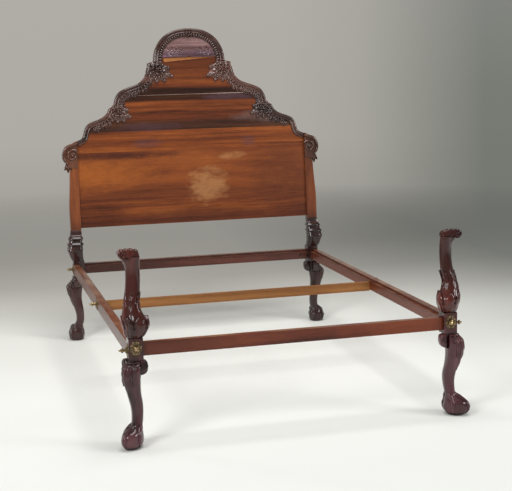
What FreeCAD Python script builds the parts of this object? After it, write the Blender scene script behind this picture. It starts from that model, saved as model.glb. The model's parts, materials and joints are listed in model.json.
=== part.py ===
import FreeCAD, Part
import math
import os
import Sketcher
from collections import namedtuple
from types import SimpleNamespace

# A knock-down carved bed: four posts, four rails and a cross slat held together by ten
# brass-headed bolts, and a boarded headboard with a moulded, stepped crest.
# X runs across the bed, Y from the foot end to the head end, Z up; all lengths in mm.

Vector = FreeCAD.Vector
Placement = FreeCAD.Placement
Rotation = FreeCAD.Rotation
UP = Vector(0, 0, 1)
FORWARDS = Vector(0, -1, 0)
BACKWARDS = Vector(0, 1, 0)

SIZES = [
    ("post_spread_across", 1420, "centre to centre of the posts across the bed"),
    ("post_spread_along", 2000, "centre to centre of the posts along the bed"),
    ("block_side", 62, "side of the square block that takes the rails"),
    ("rail_top", 449, "height of the top of the rails"),
    ("rail_height", 57, "height of a rail's face"),
    ("rail_thick", 44, "thickness of a rail"),
    ("block_above_rail", 22, "block above the top of the rails"),
    ("block_below_rail", 15, "block below the underside of the rails"),
    ("rebate_wide", 14, "width of the rebate that holds the bed boards"),
    ("rebate_deep", 12, "depth of that rebate"),
    ("tenon_long", 12, "length of a rail's stub tenon"),
    ("tenon_thick", 20, "thickness of a tenon"),
    ("tenon_shoulder", 8, "shoulder under a tenon"),
    ("tenon_drop", 1, "top of a tenon below the rebate's floor"),
    ("joint_gap", 0.2, "clearance round a tenon or a tongue"),
    ("bolt_radius", 3.5, "radius of a bolt's shank"),
    ("bolt_hole_gap", 0.5, "clearance round a shank in wood"),
    ("thread_gap", 0.05, "clearance round a shank in brass"),
    ("bolt_level_split", 11, "height between the two bolts that cross in a post"),
    ("bolt_level_lift", 3, "their mean height above the middle of the rails"),
    ("bolt_tail", 14, "bolt beyond its nut"),
    ("hole_end_room", 6, "hole beyond the end of a bolt"),
    ("nut_side", 12, "side of a square nut"),
    ("nut_thick", 9, "thickness of a nut"),
    ("nut_inset", 38, "wood between a nut and the end of its rail"),
    ("plate_radius", 27, "radius of a backplate"),
    ("plate_thick", 2.5, "thickness of a backplate"),
    ("collar_radius", 12, "radius of the loose collar under a bolt head"),
    ("collar_thick", 3, "thickness of that collar"),
    ("knob_radius", 11, "radius of a bolt head"),
    ("knob_long", 34, "length of a bolt head"),
    ("bar_hole_radius", 2, "radius of the hole for a turning bar"),
    ("pin_radius", 1.2, "radius of a plate pin"),
    ("pin_grip", 12, "length of a pin in the wood"),
    ("pin_head_radius", 2.4, "radius of a pin's head"),
    ("pin_head_thick", 1, "thickness of a pin's head"),
    ("pin_from_bolt", 20, "distance from a bolt to each of its plate's pins"),
    ("slat_high", 46, "height of the cross slat"),
    ("slat_drop", 5, "top of the cross slat below the rebate's floor"),
    ("slat_thick", 26, "thickness of the cross slat"),
    ("slat_from_middle", 30, "cross slat towards the foot end from the middle of the rails"),
    ("shaft_rise", 342, "foot post's shaft above its block"),
    ("scroll_long", 88, "length of the scroll on a foot post"),
    ("scroll_high", 37, "height of that scroll"),
    ("scroll_deep", 46, "depth of that scroll"),
    ("scroll_lap", 8, "shaft let into the scroll"),
    ("collar_rise", 171, "height of a head post's flared collar"),
    ("collar_lap", 10, "collar drawn down over its block"),
    ("ear_facet", 12, "flat on the leg that takes an ear, from the post's centre"),
    ("ear_front_facet", 24, "flat on a head post's leg that takes its front ear"),
    ("ear_reach", 48, "tip of an ear from the post's centre"),
    ("ear_high", 66, "height of an ear"),
    ("ear_thick", 34, "thickness of an ear"),
    ("panel_bottom", 656, "height of the lower edge of the headboard"),
    ("rake_degrees", 5, "backward lean of the headboard"),
    ("stile_inset", 7, "stile outwards from the inner face of its block"),
    ("stile_wide", 60, "width of a stile at its foot"),
    ("stile_deep", 38, "depth of a stile"),
    ("stile_high", 349, "stile above the lower edge of the headboard"),
    ("stile_lap", 30, "stile let into its collar"),
    ("panel_set_back", 14, "headboard behind the front of the stiles"),
    ("panel_thick", 18, "thickness of the boards"),
    ("groove_deep", 10, "depth of the groove that holds the boards"),
    ("crest_high", 1139, "height of the headboard along its lean"),
    ("border_wide", 32, "width of the crest's border"),
    ("border_proud", 14, "border in front of the boards"),
    ("shoulder_proud", 4, "shoulder scroll in front of its stile"),
    ("lunette_wide", 296, "width of the carved lunette"),
    ("lunette_high", 112, "height of the lunette"),
    ("lunette_proud", 9, "lunette in front of the boards"),
    ("spray_radius", 48, "mean radius of a leaf spray"),
    ("spray_proud", 11, "leaf spray in front of the boards"),
    ("finial_radius", 17, "mean radius of the leaf on the arch"),
    ("finial_proud", 8, "that leaf in front of the border"),
    ("overrun", 5, "how far a cut runs out of the wood"),
]

# Each row: share of the leg's height, then shares of the block's side: half width outwards (in X, or
# along the outer front diagonal if it is turned), half width across that, shift outwards in X and in
# Y; then how square the section is, and whether it is turned to the diagonal.
FOOT_LEG_SHARES = [
    (0.000, 0.48, 0.39, 0.42, 0.42, 2.0, True),
    (0.020, 0.73, 0.53, 0.44, 0.44, 2.0, True),
    (0.075, 0.95, 0.64, 0.45, 0.45, 2.0, True),
    (0.133, 0.94, 0.65, 0.45, 0.45, 2.0, True),
    (0.182, 0.82, 0.6, 0.4, 0.41, 2.0, True),
    (0.218, 0.58, 0.48, 0.25, 0.32, 2.0, True),
    (0.252, 0.42, 0.41, 0.12, 0.26, 2.0, True),
    (0.290, 0.39, 0.39, 0.06, 0.22, 2.3, False),
    (0.330, 0.39, 0.39, 0.03, 0.18, 2.6, False),
    (0.390, 0.4, 0.4, 0.01, 0.12, 3.0, False),
    (0.483, 0.44, 0.44, 0.04, 0.08, 3.0, False),
    (0.584, 0.47, 0.47, 0.16, 0.16, 3.0, False),
    (0.690, 0.53, 0.53, 0.28, 0.28, 3.0, False),
    (0.790, 0.6, 0.6, 0.35, 0.35, 3.0, False),
    (0.865, 0.645, 0.645, 0.33, 0.33, 3.0, False),
    (0.920, 0.655, 0.655, 0.27, 0.27, 3.0, False),
    (0.957, 0.6, 0.6, 0.15, 0.15, 3.5, False),
    (1.000, 0.52, 0.52, 0.01, 0.01, 6.0, False),
]
HEAD_LEG_SHARES = [
    (0.000, 0.5, 0.48, 0.44, 0.0, 2.0, False),
    (0.020, 0.65, 0.61, 0.45, 0.0, 2.0, False),
    (0.075, 0.74, 0.69, 0.45, 0.0, 2.0, False),
    (0.133, 0.73, 0.68, 0.45, 0.01, 2.0, False),
    (0.186, 0.61, 0.58, 0.41, 0.03, 2.0, False),
    (0.228, 0.47, 0.5, 0.3, 0.07, 2.2, False),
    (0.270, 0.39, 0.44, 0.16, 0.13, 2.6, False),
    (0.330, 0.36, 0.42, 0.09, 0.22, 3.0, False),
    (0.400, 0.37, 0.42, 0.09, 0.26, 3.0, False),
    (0.478, 0.41, 0.43, 0.15, 0.26, 3.0, False),
    (0.570, 0.46, 0.45, 0.27, 0.2, 3.0, False),
    (0.690, 0.56, 0.47, 0.41, 0.12, 3.0, False),
    (0.790, 0.69, 0.485, 0.47, 0.06, 3.0, False),
    (0.860, 0.71, 0.49, 0.42, 0.02, 3.0, False),
    (0.905, 0.65, 0.5, 0.24, 0.0, 3.0, False),
    (0.940, 0.56, 0.5, 0.08, 0.0, 4.0, False),
    (1.000, 0.52, 0.51, 0.01, 0.0, 6.0, False),
]
# The same columns, with heights as shares of the shaft's rise and of the collar's rise.
FOOT_SHAFT_SHARES = [
    (0.000, 0.48, 0.48, 0.0, 0.0, 4.0, False),
    (0.040, 0.6, 0.66, -0.02, 0.03, 2.4, True),
    (0.100, 0.7, 0.84, -0.06, 0.12, 2.0, True),
    (0.173, 0.75, 0.92, -0.06, 0.17, 2.0, True),
    (0.246, 0.71, 0.84, 0.02, 0.13, 2.0, True),
    (0.320, 0.6, 0.69, 0.11, 0.05, 2.0, True),
    (0.393, 0.51, 0.57, 0.13, -0.02, 2.2, True),
    (0.495, 0.45, 0.52, 0.065, -0.16, 2.4, True),
    (0.642, 0.41, 0.5, -0.05, -0.3, 2.5, True),
    (0.790, 0.4, 0.5, -0.08, -0.34, 2.5, True),
    (0.906, 0.41, 0.53, -0.065, -0.3, 2.5, True),
    (1.000, 0.44, 0.6, 0.0, -0.22, 2.5, True),
]
HEAD_COLLAR_SHARES = [
    (0.000, 0.46, 0.46, 0.0, 0.0, 4.0, False),
    (0.060, 0.53, 0.51, 0.06, 0.025, 4.5, False),
    (0.170, 0.603, 0.58, 0.163, 0.095, 4.0, False),
    (0.299, 0.647, 0.613, 0.228, 0.128, 4.0, False),
    (0.415, 0.693, 0.63, 0.282, 0.145, 4.0, False),
    (0.509, 0.67, 0.597, 0.27, 0.112, 4.0, False),
    (0.579, 0.615, 0.53, 0.215, 0.045, 5.0, False),
    (0.649, 0.63, 0.524, 0.23, 0.039, 5.0, False),
    (0.707, 0.57, 0.46, 0.18, -0.025, 5.0, False),
    (0.812, 0.537, 0.411, 0.152, -0.074, 5.0, False),
    (0.877, 0.552, 0.419, 0.167, -0.066, 5.0, False),
    (0.930, 0.522, 0.37, 0.138, -0.115, 6.0, False),
    (1.000, 0.512, 0.347, 0.128, -0.138, 8.0, False),
]
# Scroll outline from its inner lower corner, as shares of its length and height.
SCROLL_SHARES = [
    (0.03, 0.04), (0.0, 0.35), (0.03, 0.65), (0.14, 0.88), (0.38, 1.0), (0.67, 1.0), (0.88, 0.92),
    (0.99, 0.73), (1.0, 0.46), (0.94, 0.21), (0.84, 0.04), (0.73, 0.0), (0.65, 0.10), (0.60, 0.27),
    (0.55, 0.15), (0.52, 0.04),
]
SCROLL_INNER_SHARE = 0.34
SCROLL_BACK_SHARE = 0.17
# An ear's free edge, from its top round its tip and down to the leg, as shares of its reach and height.
EAR_EDGE_SHARES = [
    (0.5, 0.0), (0.8, -0.05), (0.96, -0.19), (1.0, -0.4), (0.95, -0.64), (0.8, -0.84), (0.5, -0.95),
    (0.0, -1.0),
]
EAR_OUTER_SHARE = 0.96
# A stile's outer edge, as shares of its width and height.
STILE_EDGE_SHARES = [(1.0, 0.0), (1.0, 0.17), (0.985, 0.43), (0.92, 0.57), (0.82, 0.83), (0.78, 1.0)]
# Shoulder scroll, as shares of its own width and height, from its top to its foot.
SHOULDER_SHARES = [
    (0.0, 1.0), (0.16, 0.965), (0.34, 0.915), (0.69, 0.85), (0.907, 0.70), (1.0, 0.52), (0.98, 0.355),
    (0.83, 0.205), (0.65, 0.105), (0.59, 0.04), (0.56, 0.0),
]
SHOULDER_REACH_SHARE = 1.042
SHOULDER_TOP_SHARE = 0.44
# Right half of the crest, as shares of the bed's outer half width and of the crest's height.
LOWER_SWEEP_SHARES = [
    (0.880, 0.455), (0.865, 0.479), (0.856, 0.499), (0.834, 0.5215), (0.794, 0.536), (0.731, 0.5505),
    (0.688, 0.569), (0.661, 0.599),
]
UPPER_SWEEP_SHARES = [
    (0.621, 0.612), (0.615, 0.634), (0.603, 0.656), (0.574, 0.682), (0.520, 0.700), (0.4615, 0.713),
    (0.413, 0.726), (0.374, 0.748), (0.352, 0.770), (0.3415, 0.796), (0.337, 0.825),
]
ARCH_SHARES = [
    (0.289, 0.832), (0.286, 0.854), (0.278, 0.881), (0.259, 0.911), (0.224, 0.945), (0.170, 0.973),
    (0.101, 0.992),
]
BOARD_TOP_SHARES = [0.14, 0.378, 0.482, 0.663, 0.843, 1.0]
LUNETTE_FOOT_SHARE = 0.852
UPPER_SPRAY_SHARE = (0.208, 0.783)
LOWER_SPRAY_SHARE = (0.535, 0.564)
FINIAL_SHARE = (0.0, 0.975)
# Bolt head, from the collar outwards, as shares of its radius and length.
KNOB_SHARES = [
    (1.0, 0.0), (1.0, 0.12), (0.5, 0.21), (0.5, 0.33), (0.92, 0.44), (0.92, 0.58), (0.42, 0.74),
    (0.30, 0.92),
]
BAR_HOLE_SHARE = 0.51

SPRAY_LOBES = 7
SPRAY_LOBE_SHARE = 0.10
FINIAL_LOBES = 3
FINIAL_LOBE_SHARE = 0.20

# How many points a curve is drawn through.
RING_POINTS = 24
BORDER_SAMPLES = 24
LUNETTE_STEPS = 16
LOBE_POINTS = 8

doc = FreeCAD.newDocument("carved_bed")
sheet = doc.addObject("Spreadsheet::Sheet", "Sizes")
for row, (alias, number, note) in enumerate(SIZES, start=1):
    sheet.set(f"A{row}", note)
    sheet.set(f"B{row}", str(number))
    sheet.setAlias(f"B{row}", alias)
doc.recompute()
size = SimpleNamespace(**{alias: float(sheet.get(alias)) for alias, number, note in SIZES})

half_block = size.block_side / 2
post_x = size.post_spread_across / 2
outer_x = post_x + half_block
inner_x = post_x - half_block
stile_x = inner_x + size.stile_inset
rail_bottom = size.rail_top - size.rail_height
rail_middle = rail_bottom + size.rail_height / 2
rebate_floor = size.rail_top - size.rebate_deep
block_bottom = rail_bottom - size.block_below_rail
block_top = size.rail_top + size.block_above_rail
bolt_level = rail_middle + size.bolt_level_lift
across_level = bolt_level - size.bolt_level_split / 2
along_level = bolt_level + size.bolt_level_split / 2
slat_top = rebate_floor - size.slat_drop
rake = math.radians(size.rake_degrees)
stile_back = size.stile_deep - size.panel_set_back
panel_from_post = half_block - stile_back
# The crest's back and the knobs at the foot end are equally far from the middle of the bed.
head_reach = panel_from_post + size.crest_high * math.sin(rake) + size.panel_thick * math.cos(rake)
foot_reach = half_block + size.plate_thick + size.collar_thick + size.knob_long
foot_y = (foot_reach - head_reach - size.post_spread_along) / 2
head_y = foot_y + size.post_spread_along
slat_y = (foot_y + head_y) / 2 - size.slat_from_middle
leaning = Placement(
    Vector(0, head_y + panel_from_post, size.panel_bottom), Rotation(Vector(1, 0, 0), -size.rake_degrees)
)

SIDES = {"left": -1, "right": 1}
ENDS = {"foot": -1, "head": 1}
END_Y = {"foot": foot_y, "head": head_y}
nodes = []


def bound(thing, **formulas):
    """Tie properties of a document object to formulas over the sheet."""
    for prop, formula in formulas.items():
        thing.setExpression(prop, formula)


def kept(thing, label):
    """Mark a document object as one of the bed's pieces."""
    thing.Label = label
    nodes.append(thing)
    return thing


def box(name, length, width, height, corner, frame=Placement()):
    """A block with bound sizes, its least corner at the given point of a frame."""
    solid = doc.addObject("Part::Box", name)
    bound(solid, Length=length, Width=width, Height=height)
    solid.Placement = frame.multiply(Placement(Vector(*corner), Rotation()))
    return solid


def rod(name, radius, length, start, frame):
    """A cylinder with bound sizes that runs from a point of a frame along the frame's Z."""
    solid = doc.addObject("Part::Cylinder", name)
    bound(solid, Radius=radius, Height=length)
    solid.Placement = frame.multiply(Placement(Vector(*start), Rotation()))
    return solid


def fused(name, solids):
    """Several solids as one."""
    whole = doc.addObject("Part::MultiFuse", name)
    whole.Shapes = solids
    return whole


def gathered(name, solids):
    """Several separate solids of one kind, kept together."""
    group = doc.addObject("Part::Compound", name)
    group.Links = solids
    return group


def carved(name, blank, tools):
    """A blank with all the tools cut out of it."""
    result = doc.addObject("Part::Cut", name)
    result.Base = blank
    result.Tool = tools[0] if len(tools) == 1 else fused(f"{name}_cuts", tools)
    return result


def shaped(name, shape):
    """A document object that holds a freely curved shape."""
    holder = doc.addObject("Part::Feature", name)
    holder.Shape = shape
    return holder


def extruded(name, face, direction, depth):
    """An outline drawn out to a bound depth."""
    solid = doc.addObject("Part::Extrusion", name)
    solid.Base = shaped(f"{name}_outline", face)
    solid.DirMode = "Custom"
    solid.Dir = direction
    solid.Solid = True
    bound(solid, LengthFwd=depth)
    return solid


def spline(points):
    """A smooth edge through points."""
    curve = Part.BSplineCurve()
    curve.interpolate(Points=points)
    return curve


def closed_face(*edges):
    """The flat face inside a closed run of edges."""
    return Part.Face(Part.Wire(Part.__sortEdges__(list(edges))))


def ring(centre, half_u, half_v, power, turn):
    """A closed level outline, from an ellipse (power 2) towards a rounded rectangle."""
    points = []
    for step in range(RING_POINTS):
        angle = 2 * math.pi * step / RING_POINTS
        along = abs(math.cos(angle - turn)) / half_u
        across = abs(math.sin(angle - turn)) / half_v
        reach = (along ** power + across ** power) ** (-1 / power)
        points.append(centre + Vector(reach * math.cos(angle), reach * math.sin(angle), 0))
    curve = Part.BSplineCurve()
    curve.interpolate(Points=points, PeriodicFlag=True)
    return Part.Wire([curve.toShape()])


def turned_up(name, shares, side, post_y, foot, rise):
    """A solid lofted through the rows of a table of shares, above a height, on one post."""
    diagonal = math.atan2(-1, side)
    rings = []
    for height, half_u, half_v, out_x, out_y, power, turned in shares:
        centre = Vector(
            side * (post_x + out_x * size.block_side), post_y - out_y * size.block_side, foot + height * rise
        )
        turn = diagonal if turned else 0
        rings.append(ring(centre, half_u * size.block_side, half_v * size.block_side, power, turn))
    return shaped(name, Part.makeLoft(rings, True, False))


# A bolt's site: the frame on the wood's outer face, with Z outwards along the bolt and X the way its
# nut's pocket opens, and how much wood the pocket has to pass.
Site = namedtuple("Site", "name frame wood")
HALF_BLOCK = "Sizes.block_side / 2"
INNER_WOOD = "Sizes.rail_thick - Sizes.block_side / 2"
inner_wood = size.rail_thick - half_block


def site(name, face, outward, opening, wood):
    """The site of one bolt."""
    facing = Rotation(opening, outward.cross(opening), outward, "ZXY")
    return Site(name, Placement(face, facing), wood)


sites = []
for end, end_sign in ENDS.items():
    for hand, side in SIDES.items():
        across_face = Vector(side * outer_x, END_Y[end], across_level)
        along_face = Vector(side * post_x, END_Y[end] + end_sign * half_block, along_level)
        inwards_y = Vector(0, -end_sign, 0)
        pocket_wood = HALF_BLOCK if end == "foot" else INNER_WOOD
        sites.append(site(f"{end}_{hand}_across", across_face, Vector(side, 0, 0), inwards_y, pocket_wood))
        inwards_x = Vector(-side, 0, 0)
        sites.append(site(f"{end}_{hand}_along", along_face, inwards_y * -1, inwards_x, INNER_WOOD))
for hand, side in SIDES.items():
    sites.append(site(
        f"slat_{hand}", Vector(side * outer_x, slat_y, rail_middle), Vector(side, 0, 0), BACKWARDS,
        "Sizes.slat_thick / 2",
    ))

HOLE_RADIUS = "Sizes.bolt_radius + Sizes.bolt_hole_gap"
FIT_RADIUS = "Sizes.bolt_radius + Sizes.thread_gap"
REACH = "Sizes.block_side + Sizes.nut_inset + Sizes.nut_thick + Sizes.bolt_tail"
SEAT = f"{REACH} + Sizes.plate_thick + Sizes.collar_thick"
nut_far = size.block_side + size.nut_inset + size.nut_thick
reach = nut_far + size.bolt_tail
holes, pockets, pins = {}, {}, {}
plates, nuts, pin_solids = [], [], []

# What each bolt needs in the wood and round it.
for place in sites:
    name, frame = place.name, place.frame
    holes[name] = rod(
        f"hole_{name}", HOLE_RADIUS, f"{REACH} + Sizes.hole_end_room + Sizes.overrun",
        (0, 0, -reach - size.hole_end_room), frame,
    )
    nut_corner = (-size.nut_side / 2, -size.nut_side / 2, -nut_far)
    nut_blank = box(
        f"nut_blank_{name}", "Sizes.nut_side", "Sizes.nut_side", "Sizes.nut_thick", nut_corner, frame
    )
    nut_bore = rod(
        f"nut_bore_{name}", FIT_RADIUS, "Sizes.nut_thick + 2 * Sizes.overrun",
        (0, 0, -nut_far - size.overrun), frame,
    )
    nuts.append(carved(f"nut_{name}", nut_blank, [nut_bore]))
    pockets[name] = box(
        f"pocket_{name}", f"Sizes.nut_side / 2 + {place.wood} + Sizes.overrun", "Sizes.nut_side",
        "Sizes.nut_thick", nut_corner, frame,
    )
    level = frame.Rotation.inverted().multVec(UP).cross(UP)
    pins[name] = []
    for number, sign in enumerate((-1, 1), start=1):
        at = level * (sign * size.pin_from_bolt)
        shank = rod(
            f"pin_shank_{name}_{number}", "Sizes.pin_radius", "Sizes.pin_grip + Sizes.plate_thick",
            (at.x, at.y, -size.pin_grip), frame,
        )
        head = rod(
            f"pin_head_{name}_{number}", "Sizes.pin_head_radius", "Sizes.pin_head_thick",
            (at.x, at.y, size.plate_thick), frame,
        )
        pins[name].append(shank)
        pin_solids.append(fused(f"pin_{name}_{number}", [shank, head]))
    disc = rod(f"disc_{name}", "Sizes.plate_radius", "Sizes.plate_thick", (0, 0, 0), frame)
    plates.append(carved(f"plate_{name}", disc, [holes[name], *pins[name]]))

    ring_blank = rod(
        f"collar_blank_{name}", "Sizes.collar_radius", "Sizes.collar_thick", (0, 0, size.plate_thick), frame
    )
    ring_bore = rod(
        f"collar_bore_{name}", FIT_RADIUS, "Sizes.collar_thick + 2 * Sizes.overrun",
        (0, 0, size.plate_thick - size.overrun), frame,
    )
    kept(carved(f"collar_{name}", ring_blank, [ring_bore]), f"collar_{name}")

kept(gathered("bolt_plates", plates), "bolt_plates")
kept(gathered("bolt_nuts", nuts), "bolt_nuts")
kept(gathered("plate_pins", pin_solids), "plate_pins")


def origin_plane(body, role):
    """One of a body's own datum planes."""
    return next(plane for plane in body.Origin.OriginFeatures if plane.Role == role)


def sketch_on(body, name, role="XZ_Plane"):
    """An empty sketch on one of a body's datum planes."""
    sketch = body.newObject("Sketcher::SketchObject", name)
    sketch.AttachmentSupport = [(origin_plane(body, role), "")]
    sketch.MapMode = "FlatFace"
    return sketch


def constrain(sketch, formula, *arguments):
    """Add a dimension to a sketch and tie it to the sheet."""
    index = sketch.addConstraint(Sketcher.Constraint(*arguments))
    sketch.setExpression(f"Constraints[{index}]", formula)


def bolt(place):
    """A turned bolt: shank, profiled head, and a hole across the head for a turning bar."""
    body = doc.addObject("PartDesign::Body", f"bolt_{place.name}")
    body.Placement = place.frame.multiply(Placement(Vector(0, 0, -reach), Rotation()))
    seat = reach + size.plate_thick + size.collar_thick
    corners = [
        (size.bolt_radius, 0, "Sizes.bolt_radius", None),
        (size.bolt_radius, seat, "Sizes.bolt_radius", SEAT),
    ]
    for radius_share, length_share in KNOB_SHARES:
        corners.append((
            radius_share * size.knob_radius, seat + length_share * size.knob_long,
            f"{radius_share} * Sizes.knob_radius", f"{SEAT} + {length_share} * Sizes.knob_long",
        ))
    corners.append((0, seat + size.knob_long, None, f"{SEAT} + Sizes.knob_long"))

    profile = sketch_on(body, f"profile_{place.name}")
    points = [Vector(0, 0, 0)] + [Vector(x, y, 0) for x, y, x_formula, y_formula in corners]
    for start, stop in zip(points, points[1:] + points[:1]):
        profile.addGeometry(Part.LineSegment(start, stop), False)
    last = len(points) - 1
    for line in range(last):
        profile.addConstraint(Sketcher.Constraint("Coincident", line, 2, line + 1, 1))
    profile.addConstraint(Sketcher.Constraint("Coincident", last, 2, 0, 1))
    profile.addConstraint(Sketcher.Constraint("Coincident", 0, 1, -1, 1))
    for line, (x, y, x_formula, y_formula) in enumerate(corners):
        if x_formula:
            constrain(profile, x_formula, "DistanceX", -1, 1, line, 2, x)
        else:
            profile.addConstraint(Sketcher.Constraint("PointOnObject", line, 2, -2))
        if y_formula:
            constrain(profile, y_formula, "DistanceY", -1, 1, line, 2, y)
        else:
            profile.addConstraint(Sketcher.Constraint("PointOnObject", line, 2, -1))
    turning = body.newObject("PartDesign::Revolution", f"turning_{place.name}")
    turning.Profile = profile
    turning.ReferenceAxis = (profile, ["V_Axis"])
    turning.Angle = 360
    doc.recompute()

    eye = sketch_on(body, f"eye_{place.name}")
    eye_height = seat + BAR_HOLE_SHARE * size.knob_long
    eye.addGeometry(Part.Circle(Vector(0, eye_height, 0), UP, size.bar_hole_radius), False)
    eye.addConstraint(Sketcher.Constraint("PointOnObject", 0, 3, -2))
    constrain(eye, f"{SEAT} + {BAR_HOLE_SHARE} * Sizes.knob_long", "DistanceY", -1, 1, 0, 3, eye_height)
    constrain(eye, "Sizes.bar_hole_radius", "Radius", 0, size.bar_hole_radius)
    bar_hole = body.newObject("PartDesign::Pocket", f"bar_hole_{place.name}")
    bar_hole.Profile = eye
    bar_hole.Type = "ThroughAll"
    bar_hole.SideType = "Symmetric"
    kept(body, f"bolt_{place.name}")


for place in sites:
    bolt(place)

TENON_HIGH = "Sizes.rail_height - Sizes.rebate_deep - Sizes.tenon_shoulder - Sizes.tenon_drop"
MORTISE_HIGH = f"{TENON_HIGH} + 2 * Sizes.joint_gap"
MORTISE_THICK = "Sizes.tenon_thick + 2 * Sizes.joint_gap"
MORTISE_LONG = "Sizes.tenon_long + Sizes.joint_gap + Sizes.overrun"
REBATE_WIDE = "Sizes.rebate_wide + Sizes.overrun"
REBATE_DEEP = "Sizes.rebate_deep + Sizes.overrun"
tenon_foot = rail_bottom + size.tenon_shoulder
half_tenon = size.tenon_thick / 2
mortise_foot = tenon_foot - size.joint_gap
half_mortise = half_tenon + size.joint_gap
mortise_end = size.tenon_long + size.joint_gap


def side_rail(hand, side):
    """A rail along the bed, flush with the outer faces of the posts."""
    name = f"side_rail_{hand}"
    inside = outer_x - size.rail_thick
    solids = [box(
        f"{name}_bar", "Sizes.rail_thick", "Sizes.post_spread_along - Sizes.block_side", "Sizes.rail_height",
        (min(side * outer_x, side * inside), foot_y + half_block, rail_bottom),
    )]
    for end, low_y in (("foot", foot_y + half_block - size.tenon_long), ("head", head_y - half_block)):
        solids.append(box(
            f"{name}_tenon_{end}", "Sizes.tenon_thick", "Sizes.tenon_long", TENON_HIGH,
            (side * post_x - half_tenon, low_y, tenon_foot),
        ))
    rebate = box(
        f"{name}_rebate", REBATE_WIDE, "Sizes.post_spread_along", REBATE_DEEP,
        (min(side * (inside - size.overrun), side * (inside + size.rebate_wide)), foot_y, rebate_floor),
    )
    cuts = [rebate, holes[f"slat_{hand}"], *pins[f"slat_{hand}"]]
    for end in ENDS:
        cuts += [holes[f"{end}_{hand}_along"], pockets[f"{end}_{hand}_along"]]
    kept(carved(name, fused(f"{name}_blank", solids), cuts), name)


def end_rail(end):
    """A rail across the bed, flush with the back faces of its posts."""
    name = f"{end}_rail"
    front = END_Y[end] - inner_wood
    back = END_Y[end] + half_block
    solids = [box(
        f"{name}_bar", "Sizes.post_spread_across - Sizes.block_side", "Sizes.rail_thick",
        "Sizes.rail_height", (-inner_x, front, rail_bottom),
    )]
    cuts = [box(
        f"{name}_rebate", "Sizes.post_spread_across", REBATE_WIDE, REBATE_DEEP,
        (-post_x, back - size.rebate_wide if end == "foot" else front - size.overrun, rebate_floor),
    )]
    for hand, side in SIDES.items():
        solids.append(box(
            f"{name}_tenon_{hand}", "Sizes.tenon_long", "Sizes.tenon_thick", TENON_HIGH,
            (min(side * inner_x, side * (inner_x + size.tenon_long)), END_Y[end] - half_tenon, tenon_foot),
        ))
        cuts += [holes[f"{end}_{hand}_across"], pockets[f"{end}_{hand}_across"]]
    kept(carved(name, fused(f"{name}_blank", solids), cuts), name)


for hand, side in SIDES.items():
    side_rail(hand, side)
for end in ENDS:
    end_rail(end)

slat_bar = box(
    "cross_slat_bar", "Sizes.post_spread_across + Sizes.block_side - 2 * Sizes.rail_thick",
    "Sizes.slat_thick", "Sizes.slat_high",
    (size.rail_thick - outer_x, slat_y - size.slat_thick / 2, slat_top - size.slat_high),
)
slat_cuts = [tools[f"slat_{hand}"] for hand in SIDES for tools in (holes, pockets)]
kept(carved("cross_slat", slat_bar, slat_cuts), "cross_slat")


def ear(name, post_y, side, along_x, inwards, facet, outer):
    """One carved ear, as an outline from its leg's flat to its tip, drawn out sideways."""
    def at(out, height):
        if along_x:
            return Vector(side * (post_x - out), post_y - outer, block_bottom + height)
        return Vector(side * (post_x + outer), post_y + inwards * out, block_bottom + height)

    tip = size.ear_reach
    edge = [at(facet + (tip - facet) * out, size.ear_high * down) for out, down in EAR_EDGE_SHARES]
    corners = [edge[-1], at(facet, 0), edge[0]]
    sides = [Part.LineSegment(start, stop).toShape() for start, stop in zip(corners, corners[1:])]
    face = closed_face(spline(edge).toShape(), *sides)
    return extruded(name, face, BACKWARDS if along_x else Vector(-side, 0, 0), "Sizes.ear_thick")


def post_cuts(end, hand, side):
    """All that is cut out of one post: bolt holes, pin holes, mortises and flats for the ears."""
    post = f"{end}_{hand}"
    post_y, inwards = END_Y[end], -ENDS[end]
    facet = size.ear_facet if end == "foot" else size.ear_front_facet
    cuts = [holes[f"{post}_across"], holes[f"{post}_along"], *pins[f"{post}_across"], *pins[f"{post}_along"]]
    cuts.append(box(
        f"{post}_mortise_across", MORTISE_LONG, MORTISE_THICK, MORTISE_HIGH,
        (min(side * (inner_x + mortise_end), side * (inner_x - size.overrun)),
         post_y - half_mortise, mortise_foot),
    ))
    inner_face = post_y + inwards * half_block
    cuts.append(box(
        f"{post}_mortise_along", MORTISE_THICK, MORTISE_LONG, MORTISE_HIGH,
        (side * post_x - half_mortise,
         min(inner_face - inwards * mortise_end, inner_face + inwards * size.overrun), mortise_foot),
    ))
    low_z = block_bottom - size.ear_high
    flat_x = post_x - size.ear_facet
    cuts.append(box(
        f"{post}_flat_across", "Sizes.block_side", "2 * Sizes.block_side", "Sizes.ear_high",
        (min(side * flat_x, side * (flat_x - size.block_side)), post_y - size.block_side, low_z),
    ))
    flat_y = post_y + inwards * facet
    cuts.append(box(
        f"{post}_flat_along", "2 * Sizes.block_side", "Sizes.block_side", "Sizes.ear_high",
        (side * post_x - size.block_side, min(flat_y, flat_y + inwards * size.block_side), low_z),
    ))
    return cuts


def block(post, side, post_y):
    """The square block of a post."""
    return box(
        f"{post}_block", "Sizes.block_side", "Sizes.block_side",
        "Sizes.rail_height + Sizes.block_above_rail + Sizes.block_below_rail",
        (side * post_x - half_block, post_y - half_block, block_bottom),
    )


def scroll(post, side, post_y):
    """The scroll that rolls outwards at the top of a foot post."""
    low_z = block_top + size.shaft_rise - size.scroll_lap
    front = post_y + SCROLL_BACK_SHARE * size.scroll_deep - size.scroll_deep / 2
    edge = []
    for out, up in SCROLL_SHARES:
        from_post = (out - SCROLL_INNER_SHARE) * size.scroll_long
        edge.append(Vector(side * (post_x + from_post), front, low_z + up * size.scroll_high))
    face = closed_face(spline(edge).toShape(), Part.LineSegment(edge[-1], edge[0]).toShape())
    return extruded(f"{post}_scroll", face, BACKWARDS, "Sizes.scroll_deep")


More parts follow.
